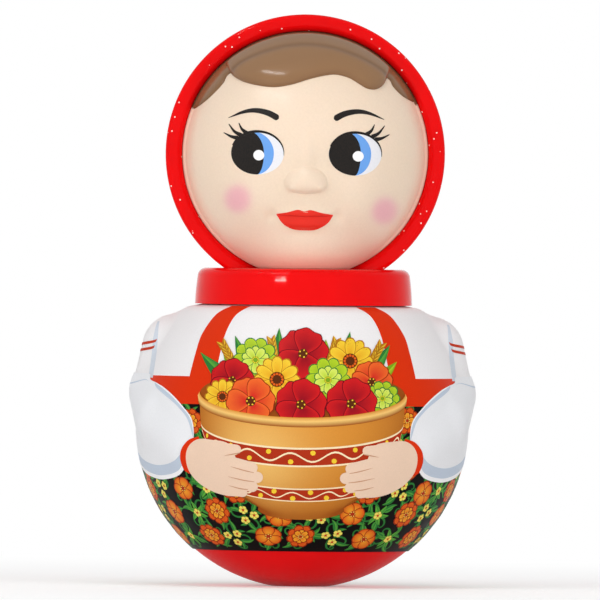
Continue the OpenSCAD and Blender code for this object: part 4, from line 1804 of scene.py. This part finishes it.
@dataclass
class FaceMask:
    """Vinyl face with sprayed blush; the features are painted on by FacePaint."""

    form: FaceForm
    rows: int = 150
    columns: int = 360
    edge_r: float = 45.12
    flare: Pair = (78.0, 81.7)
    first_ring: float = 0.006
    floor_gap: float = 0.02
    blushes: Points = ((-24.2, -16.4), (29.0, -20.3))
    blush_r: float = 4.6
    blush_most: float = 0.85
    blush_fade: float = 5.5
    hair_turns: Pair = (24.5, 158.5)
    hair_from: float = 44.0

    def build(self) -> Pieces:
        """Makes the mask as a closed shell that stands for the CAD mask.

        Returns:
            The mask.
        """
        form = self.form
        out = np.linspace(self.first_ring, math.pi / 2, self.rows)[:, None]
        turn = full_turn(self.columns)[None, :]
        way = np.stack([np.sin(out) * np.cos(turn), -np.cos(out) + 0 * turn, np.sin(out) * np.sin(turn)], -1)
        edge = np.clip((np.degrees(out) - self.flare[0]) / (self.flare[1] - self.flare[0]), 0, 1)
        ease = edge**2 * (3 - 2 * edge)
        x, z = way[..., 0] * form.radius, way[..., 2] * form.radius
        reach = form.radius + form.relief(x, z)
        wall = self.edge_r / np.sin(out)
        reach = np.minimum(reach * (1 - ease) + wall * ease, wall)
        outside = form.middle + way * reach[..., None]
        inside = form.middle + way * (form.radius - form.wall)
        outside[..., 2] = np.maximum(outside[..., 2], form.floor_z + self.floor_gap)
        inside[..., 2] = np.maximum(inside[..., 2], form.floor_z + form.wall)
        shell = Slabs()
        shell.add(outside, inside, self._paint(x, z), ring=True, cap=True)
        mask = shell.make("face", FACE_VINYL)
        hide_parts("face_mask")
        return [mask]

    def _paint(self, x: Array, z: Array) -> Array:
        """Gives the sprayed colours: skin with blushes, and hair brown where the hair meets the rim, in its
        darker tone as painted shade under the rim.

        Args:
            x: Places across, from the middle of the face.
            z: Places up.

        Returns:
            Linear colours.
        """
        turn = np.degrees(np.arctan2(z, x))
        behind_hair = (turn > self.hair_turns[0]) & (turn < self.hair_turns[1])
        # Painted shade: the band next to the rim gets the dark hair brown
        brown = behind_hair & (np.hypot(x, z) > self.hair_from)
        colour = np.where(brown[..., None], Ink.HAIR_SHADE.light, Ink.SKIN.light)
        for at in self.blushes:
            away = np.hypot(x - at[0], z - at[1]) / self.blush_r
            share = self.blush_most / (1 + np.exp((away - 1) * self.blush_fade))
            colour = mix(colour, Ink.BLUSH.light, share)
        return colour


@dataclass
class FacePaint:
    """Painted eyes, lashes, brows and lips."""

    form: FaceForm
    eyes: Pair = (-17.5, 18.3)
    eye_z: float = 0.25
    eye_w: float = 9.6
    eye_h: float = 7.9
    pupil: Triple = (2.1, 5.3, 2.25)
    iris: Triple = (5.8, 8.0, 6.3)
    glints: Pair = (0.3, 1.2)
    glint: Pair = (-0.8, 1.95)
    lashes: tuple[Points, ...] = (
        ((7.2, 5.4), (9.6, 5.9), (12.4, 7.3)), ((6.0, 6.4), (8.5, 7.8), (10.6, 10.5)),
        ((4.0, 7.2), (5.8, 8.7), (6.9, 10.9)))
    brow: Points = (
        (10.1, 12.9), (14.0, 14.9), (18.6, 15.8), (23.0, 15.2), (28.5, 13.0))
    brow_shift: float = 0.25
    brow_w: float = 2.3
    brow_round: float = 0.06
    brow_taper: float = 0.93
    lid_turns: Pair = (160.0, -6.0)
    lid_places: tuple[float, ...] = (0.0, 0.3, 0.7, 1.0)
    lid_widths: tuple[float, ...] = (0.5, 1.0, 0.7, 0.12)
    lash_w: Pair = (1.6, 0.24)
    lip_top: Points = (
        (-10.5, -21.9), (-7.0, -21.2), (-2.7, -20.05), (-0.1, -20.4), (2.5, -20.1), (7.0, -21.3), (10.6, -22.1))
    lip_low: Points = (
        (-10.5, -21.9), (-8.5, -24.6), (-6.4, -26.2), (-3.6, -27.3), (0.0, -27.55), (3.4, -27.45), (6.0, -26.5),
        (8.7, -24.7), (10.6, -22.1))
    lip_line: float = 0.4
    lip_part: float = 0.28

    def build(self) -> Pieces:
        """Paints all features.

        Returns:
            The piece with their paint.
        """
        ink = Print(self.form, 0.7)
        for x, glint_x, side in zip(self.eyes, self.glints, (-1, 1)):
            self._eye(ink, x, x + glint_x, side)
            self._brow(ink, side)
        self._lips(ink)
        return [ink.make("face_paint", FACE_ENAMEL, "face_skin")]

    def _eye(self, ink: Print, x: float, glint_x: float, side: int) -> None:
        """Paints one eye, looking to the right of the picture, with its lid line and outer lashes.

        Args:
            ink: Print to draw in.
            x: Middle of the eye.
            glint_x: Middle of its white glint.
            side: -1 for the left, 1 for the right.
        """
        lay = self.form.rays
        whole = ellipse(x, self.eye_z, self.eye_w, self.eye_h, 64)
        ink.blot(lay, whole, FaceLayer.EYE, Ink.EYE_WHITE)
        discs = ((FaceLayer.IRIS, self.iris, Ink.IRIS_BLUE), (FaceLayer.PUPIL, self.pupil, Ink.EYE_BLACK))
        for layer, (edge, above, below), tone in discs:
            flat = [max(0.0, (bow - edge) / (bow + self.eye_w)) for bow in (below, above)]
            low, high = (math.acos(share + 0.03) for share in flat)
            level = np.sin(np.linspace(-low, high, 40))
            reach = np.sqrt(1 - level**2)
            bow = np.where(level > 0, above, below)
            height = self.eye_z + self.eye_h * level
            left = np.stack([x - self.eye_w * reach, height], -1)
            right = np.stack([x + np.minimum(self.eye_w * reach, edge - bow * (1 - reach)), height], -1)
            ink.strip(lay, left, right, layer, tone)
        up, radius = self.glint
        ink.blot(lay, ellipse(glint_x, self.eye_z + up, radius, radius, 32), FaceLayer.GLINT, Ink.GLINT)
        angle = np.linspace(*np.radians(self.lid_turns), 50)
        lid = np.array([x, self.eye_z]) + heading(angle) * np.array([self.eye_w, self.eye_h])
        taper = np.interp(np.linspace(0, 1, 50), self.lid_places, self.lid_widths)
        ink.line(lay, lid, taper, FaceLayer.LID, Ink.EYE_BLACK)
        for lash in self.lashes:
            path = curve(mirrored(lash, side), 14) + np.array([x, self.eye_z])
            ink.line(lay, path, np.linspace(*self.lash_w, 14), FaceLayer.LASH, Ink.EYE_BLACK)

    def _brow(self, ink: Print, side: int) -> None:
        """Paints one brow, thick and round near the nose and thin at its end.

        Args:
            ink: Print to draw in.
            side: -1 for the left, 1 for the right.
        """
        path = curve(mirrored(self.brow, side), 60) + np.array([self.brow_shift, 0])
        share = np.linspace(0, 1, 60)
        end = np.sqrt(np.maximum(1 - (1 - np.clip(share / self.brow_round, 0, 1)) ** 2, 0.01))
        width = self.brow_w * end * (1 - self.brow_taper * share**1.7)
        ink.line(self.form.rays, path, width, FaceLayer.BROW, Ink.EYE_BLACK)

    def _lips(self, ink: Print) -> None:
        """Paints the lips and the line between them.

        Args:
            ink: Print to draw in.
        """
        top, low = curve(self.lip_top, 80), curve(self.lip_low, 80)
        ink.strip(self.form.rays, top[1:-1], low[1:-1], FaceLayer.LIPS, Ink.LIP_RED)
        middle = top * (1 - self.lip_part) + low * self.lip_part
        width = self.lip_line * np.sin(np.linspace(0.05, math.pi - 0.05, 74)) ** 0.5
        ink.line(self.form.rays, middle[3:-3], width, FaceLayer.LIP_LINE, Ink.LIP_DEEP)


@dataclass
class Hair:
    """Moulded hair: side locks that lie close, and a full fringe over them."""

    form: FaceForm
    rim_reach: float = 44.5
    locks: Points = (
        (-42.0, 15.4), (-38.0, 18.0), (-33.6, 22.0), (-30.4, 25.6), (-27.6, 29.4), (-18.0, 31.0), (0.0, 33.0),
        (18.0, 31.0), (29.2, 28.4), (32.0, 24.9), (35.2, 21.8), (38.7, 19.8), (41.2, 18.8))
    fringe: Points = (
        (-28.4, 31.8), (-28.0, 30.0), (-26.6, 28.2), (-23.3, 26.4), (-18.4, 25.1), (-11.8, 24.4), (-5.3, 25.4),
        (1.3, 27.5), (7.1, 28.9), (11.2, 29.2), (15.8, 28.0), (19.4, 25.9), (22.3, 24.3), (25.2, 24.0),
        (27.6, 25.0), (28.9, 27.2), (29.0, 30.0))
    lock_t: float = 1.0
    lock_round: float = 3.0
    fringe_t: float = 3.0
    fringe_round: float = 7.0
    edge_t: float = 0.02
    sunk: float = 0.4
    end_scale: float = 75.0
    crowding: float = 1.5
    rim_gap: float = 0.05
    ridge: float = 0.1
    ridge_z: float = 37.7
    ridge_arch: float = 0.0125
    ridge_drop: float = 1.7
    ridge_w: float = 1.2
    groove_w: float = 0.5
    # Painted shade: darker brown in the groove, along the lower edge and towards the rim
    groove_shade: Pair = (6.5, 0.8)
    edge_shade: Pair = (0.5, 0.8)
    rim_shade: Triple = (0.55, 38.0, 6.0)
    columns: int = 280
    rows: int = 60

    def build(self) -> Pieces:
        """Makes the locks and the fringe.

        Returns:
            Both pieces.
        """
        return [self._mass("hair_locks", self.locks, self.lock_t, self.lock_round, 0.0),
                self._mass("hair_fringe", self.fringe, self.fringe_t, self.fringe_round, self.ridge)]

    def _mass(
        self, name: str, hairline: Sequence[Sequence[float]], thick: float, rounding: float, ridge: float
    ) -> Piece:
        """Makes one mass of hair between its lower edge and the rim.

        Args:
            name: Name of the piece.
            hairline: Points of its lower edge.
            thick: How far it stands out of the face.
            rounding: Distance from its edge over which it rounds off.
            ridge: Height of the ridge near the top, over a groove painted darker as shade.

        Returns:
            The piece.
        """
        form = self.form
        low = curve(hairline, self.columns)
        angle = np.arctan2(low[:, 1], low[:, 0])
        spread = np.linspace(angle[0], angle[-1], self.columns)
        top = (self.rim_reach - self.rim_gap) * heading(spread)
        spots = low + (top - low) * np.linspace(0, 1, self.rows)[:, None, None] ** self.crowding
        away = np.linalg.norm(spots - low, axis=-1)
        reach = np.hypot(spots[..., 0], spots[..., 1])
        share = np.linspace(0, 1, self.columns)
        ends = np.minimum(share, share[::-1]) * self.end_scale
        near = np.clip(np.minimum(away, ends[None, :]) / rounding, 0, 1)
        arch = spots[..., 1] + self.ridge_arch * spots[..., 0] ** 2 - self.ridge_z
        swell = np.exp(-(((arch + self.ridge_drop) / self.ridge_w) ** 2))
        swell = swell - np.exp(-((arch / self.groove_w) ** 2))
        lift = thick * np.sqrt(1 - (1 - near) ** 2) + self.edge_t + ridge * swell
        lift = np.minimum(lift, form.radius * (self.rim_reach / reach - 1))
        start, way = form.rays(spots)
        face = form.land(start, way)[0]
        groove, groove_w = self.groove_shade
        edge, edge_w = self.edge_shade
        rim, rim_from, rim_w = self.rim_shade
        # Painted shade: the brown darkens along the lower edge, towards the rim and in the groove, where shade
        # falls
        shade = edge * np.exp(-away / edge_w) + rim * np.clip((reach - rim_from) / rim_w, 0, 1)
        shade = shade + groove * ridge * np.exp(-((arch / groove_w) ** 2))
        mass = Slabs()
        brown = mix(Ink.HAIR.light, Ink.HAIR_SHADE.light, shade)
        mass.add(face + way * lift[..., None], face - way * self.sunk, brown)
        return mass.make(name, HAIR_VINYL)


@dataclass
class Collar:
    """Moulded neck ring: a slightly crowned wall, a rounded top edge and a hub round the neck."""

    foot_r: float
    low_z: float
    top_z: float
    lift: float = 0.4
    wall: float = 2.2
    crown: Pair = (1.5, 8.0)
    rounding: float = 3.2
    inner_rounding: float = 1.0
    hole_r: float = 24.65
    rings: int = 14
    columns: int = 240

    @classmethod
    def from_frame(cls) -> "Collar":
        """Takes the ring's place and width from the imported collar."""
        low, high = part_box("collar")
        return cls(high.x / MM, low.z / MM, high.z / MM)

    def build(self) -> Pieces:
        """Turns the outer and inner outlines round the upright axis.

        Returns:
            The ring, which stands for the CAD collar.
        """
        heights = np.linspace(self.low_z + self.lift, self.top_z - self.rounding, self.rings)
        tilt = np.tan(np.radians(np.linspace(*self.crown, self.rings)))
        drop = np.append(0, np.cumsum((tilt[1:] + tilt[:-1]) / 2 * np.diff(heights)))
        reach = self.foot_r - drop
        roof, hub = self.top_z - self.wall, self.hole_r + self.wall
        outer = np.vstack([np.stack([reach, heights], -1), self._corner(reach[-1], self.top_z, self.rounding),
                           [[hub, self.top_z], [self.hole_r, self.top_z], [self.hole_r, self.low_z]]])
        inner_heights = np.linspace(heights[0], roof - self.inner_rounding, self.rings)
        inner = np.vstack([np.stack([reach - self.wall, inner_heights], -1),
                           self._corner(reach[-1] - self.wall, roof, self.inner_rounding),
                           [[hub + 1, roof], [hub, roof], [hub, self.low_z]]])
        red = np.broadcast_to(Ink.HOOD_RED.light, (len(outer), self.columns, 3))
        ring = Slabs()
        ring.add(self._turned(outer), self._turned(inner), red, ring=True)
        piece = ring.make("neck_collar", HOOD_ABS)
        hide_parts("collar")
        return [piece]

    @staticmethod
    def _corner(reach: float, top: float, radius: float) -> Array:
        """Gives a rounded corner from the wall to the level top."""
        angle = np.linspace(0, math.pi / 2, 9)[1:]
        return np.stack([reach - radius + radius * np.cos(angle), top - radius + radius * np.sin(angle)], -1)

    def _turned(self, outline: Array) -> Array:
        """Turns an outline of (distance, height) round the upright axis."""
        turn, reach = full_turn(self.columns), outline[:, :1]
        return np.stack([reach * np.cos(turn), reach * np.sin(turn), outline[:, 1:] + 0 * turn], -1)


@dataclass
class CadDress:
    """Finishes for the CAD pieces that show as they are, and for the weight and chime inside."""

    nodes: dict[str, Piece]
    finishes: dict[str, Finish] = field(default_factory=lambda: {
        "base_cup": BASE_PP, "body_shell": SHELL_PP, "hood_shell": HOOD_ABS, "hood_rim": RIM_ABS,
        "ballast_weight": CAST_IRON, "chime_block": BLOCK_BRASS, "clapper_frame": FRAME_PAINT,
        "swivel_link": LINK_NYLON, "clapper_ball": ROD_STEEL})
    plated: tuple[str, ...] = (
        "chime_plate", "plate_screws", "block_screws", "frame_screws", "hanger_pin", "clapper_pin",
        "clapper_rod", "neck_clip")

    def dress(self) -> Pieces:
        """Gives each CAD piece its finish.

        Returns:
            The CAD pieces.
        """
        rods = [name for name in self.nodes if name.startswith("chime_rod_")]
        steel = {**dict.fromkeys(self.plated, ZINC_STEEL), **dict.fromkeys(rods, ROD_STEEL)}
        dressed = []
        for name, finish in {**self.finishes, **steel}.items():
            piece = self.nodes[name]
            piece.data.materials.clear()
            piece.data.materials.append(finish.material())
            dressed.append(piece)
        return dressed


@dataclass(frozen=True)
class Lamp:
    """Rectangular lamp that points at the doll.

    A softbox lights it, and a glint shows only in its gloss, or only in the gloss of the one piece it names.
    """

    name: str
    place: Triple
    size: Pair
    power: float
    glint: bool = False
    only: str | None = None

    def build(self, aim_z: float) -> None:
        """Adds the lamp to the scene.

        Args:
            aim_z: Height of the point on the doll's axis that it points at.
        """
        data = bpy.data.lights.new(self.name, "AREA")
        data.shape = "RECTANGLE"
        data.size, data.size_y = (side * MM for side in self.size)
        data.energy = self.power
        lamp = bpy.data.objects.new(self.name, data)
        lamp.location = Vector(self.place) * MM
        lamp.rotation_mode = "QUATERNION"
        lamp.rotation_quaternion = (Vector((0, 0, aim_z * MM)) - lamp.location).to_track_quat("-Z", "Y")
        lamp.visible_glossy = self.glint
        lamp.visible_diffuse = not self.glint
        bpy.context.scene.collection.objects.link(lamp)
        if self.only:
            lit = bpy.data.collections.new(self.name)
            lit.objects.link(bpy.data.objects[self.only])
            lamp.light_linking.receiver_collection = lit


@dataclass
class Studio:
    """Pale floor, soft lights, white surround and the camera."""

    pixel: float = 0.3674
    image: int = 600
    lean: float = 0.0119
    aim: Pair = (-1.3, 105.06)
    distance: float = 9000.0
    elevation: float = 0.4
    sensor: float = 36.0
    floor_half: float = 4000.0
    shadow_near: float = 150.0
    shadow_far: float = 600.0
    floor_glow: float = 0.27
    ambient: float = 0.4
    softboxes: tuple[Lamp, ...] = (
        Lamp("left", (-1400.0, -1300.0, 350.0), (1000.0, 1200.0), 10.5),
        Lamp("right", (1400.0, -1300.0, 350.0), (1000.0, 1200.0), 8.6),
        Lamp("front", (-100.0, -2000.0, 170.0), (1200.0, 300.0), 8.2),
        Lamp("top", (-100.0, -600.0, 1500.0), (1000.0, 1000.0), 4.8),
        Lamp("back", (0.0, 1800.0, 700.0), (1200.0, 1000.0), 8.0),
        Lamp("collar_glint", (-618.0, -1300.0, 490.0), (285.0, 62.0), 10.0, True, "neck_collar"),
        Lamp("hair_glint", (-628.0, -591.0, 1314.0), (760.0, 120.0), 7.2, True))

    def build(self) -> None:
        """Sets up everything round the doll."""
        bpy.context.scene.view_settings.view_transform = "Standard"
        self._camera()
        self._floor()
        self._world()
        for lamp in self.softboxes:
            lamp.build(self.aim[1])

    def _camera(self) -> None:
        """Adds a long-lens camera that sees the doll as the photograph does, lean included."""
        data = bpy.data.cameras.new("camera")
        data.sensor_width = self.sensor
        data.lens = self.sensor * self.distance / (self.image * self.pixel)
        data.clip_end = 100.0
        camera = bpy.data.objects.new("camera", data)
        up_angle = math.radians(self.elevation)
        right = Vector((math.cos(self.lean), 0, math.sin(self.lean)))
        back = Vector((0, -math.cos(up_angle), math.sin(up_angle)))
        up = back.cross(right).normalized()
        right = up.cross(back)
        place = Vector((self.aim[0], 0, self.aim[1])) * MM + back * self.distance * MM
        camera.matrix_world = Matrix.Translation(place) @ Matrix((right, up, back)).transposed().to_4x4()
        bpy.context.scene.collection.objects.link(camera)
        bpy.context.scene.camera = camera

    def _floor(self) -> None:
        """Adds the pale floor: paper that takes the doll's shadow, and white to the eye further away."""
        half = self.floor_half * MM
        data = bpy.data.meshes.new("floor")
        corners = [(-half, -half, 0), (half, -half, 0), (half, half, 0), (-half, half, 0)]
        data.from_pydata(corners, [], [(0, 1, 2, 3)])
        floor = bpy.data.objects.new("floor", data)
        material = bpy.data.materials.new("floor_paper")
        material.use_nodes = True
        tree = material.node_tree
        tree.nodes.clear()
        seen = self._seen(tree)
        paper = add_node(tree, "ShaderNodeBsdfDiffuse", {"Color": linear("#f6f6f6")})
        glow = add_node(tree, "ShaderNodeMath", {"operation": "MULTIPLY", 1: self.floor_glow}, {0: seen})
        pale = add_node(tree, "ShaderNodeEmission", {"Color": (1, 1, 1, 1)}, {"Strength": glow.outputs[0]})
        near = add_node(tree, "ShaderNodeAddShader", links={0: paper.outputs[0], 1: pale.outputs[0]})
        white = add_node(tree, "ShaderNodeEmission", {"Color": (1, 1, 1, 1), "Strength": 1.0})
        place = add_node(tree, "ShaderNodeTexCoord")
        away = add_node(tree, "ShaderNodeVectorMath", {"operation": "LENGTH"}, {0: place.outputs["Object"]})
        settings = {"interpolation_type": "SMOOTHSTEP", "From Min": self.shadow_near * MM,
                    "From Max": self.shadow_far * MM}
        far = add_node(tree, "ShaderNodeMapRange", settings, {"Value": away.outputs["Value"]})
        share = add_node(tree, "ShaderNodeMath", {"operation": "MULTIPLY"},
                         {0: far.outputs["Result"], 1: seen})
        both = add_node(tree, "ShaderNodeMixShader",
                        links={0: share.outputs[0], 1: near.outputs[0], 2: white.outputs[0]})
        add_node(tree, "ShaderNodeOutputMaterial", links={"Surface": both.outputs[0]})
        data.materials.append(material)
        bpy.context.scene.collection.objects.link(floor)

    @staticmethod
    def _seen(tree: Tree) -> Any:
        """Tells apart where a surface is seen directly, in gloss or through glass.

        Args:
            tree: Node tree that takes the nodes.

        Returns:
            Socket, 1 where it is seen and 0 elsewhere.
        """
        path = add_node(tree, "ShaderNodeLightPath")
        direct = add_node(tree, "ShaderNodeMath", {"operation": "MAXIMUM"},
                          {0: path.outputs["Is Camera Ray"], 1: path.outputs["Is Glossy Ray"]})
        return add_node(tree, "ShaderNodeMath", {"operation": "MAXIMUM"},
                        {0: direct.outputs[0], 1: path.outputs["Is Transmission Ray"]}).outputs[0]

    def _world(self) -> None:
        """Adds an even surround: white where it is seen, and a moderate light elsewhere."""
        world = bpy.data.worlds.new("surround")
        world.use_nodes = True
        tree = world.node_tree
        tree.nodes.clear()
        strength = add_node(tree, "ShaderNodeMapRange", {"To Min": self.ambient, "To Max": 1.0},
                            {"Value": self._seen(tree)})
        light = add_node(tree, "ShaderNodeBackground", {"Color": (1, 1, 1, 1)},
                         {"Strength": strength.outputs["Result"]})
        add_node(tree, "ShaderNodeOutputWorld", links={"Surface": light.outputs[0]})
        bpy.context.scene.world = world


def main() -> None:
    """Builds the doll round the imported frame, piece by piece."""
    logging.basicConfig(level=logging.INFO, format="%(name)s %(message)s")
    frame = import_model()
    for node in CadDress(frame["nodes"]).dress():
        LOG.info("%s: %s", node.name, node.data.materials[0].name)
    body, face = BodyForm.from_frame(), FaceForm.from_frame()
    hem_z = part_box("printed_sleeve")[0].z / MM
    dress = Dress(body, hem_z)
    makers = (PrintedFilm(body, hem_z), dress, SkirtPattern(body, hem_z, dress.band_low), FlowerBowl(body),
              Hands(body), FaceMask(face), FacePaint(face), Hair(face), Collar.from_frame())
    for maker in makers:
        for piece in maker.build():
            LOG.info("%s: %d points", piece.name, len(piece.data.vertices))
    Studio().build()


if __name__ == "__main__":
    main()
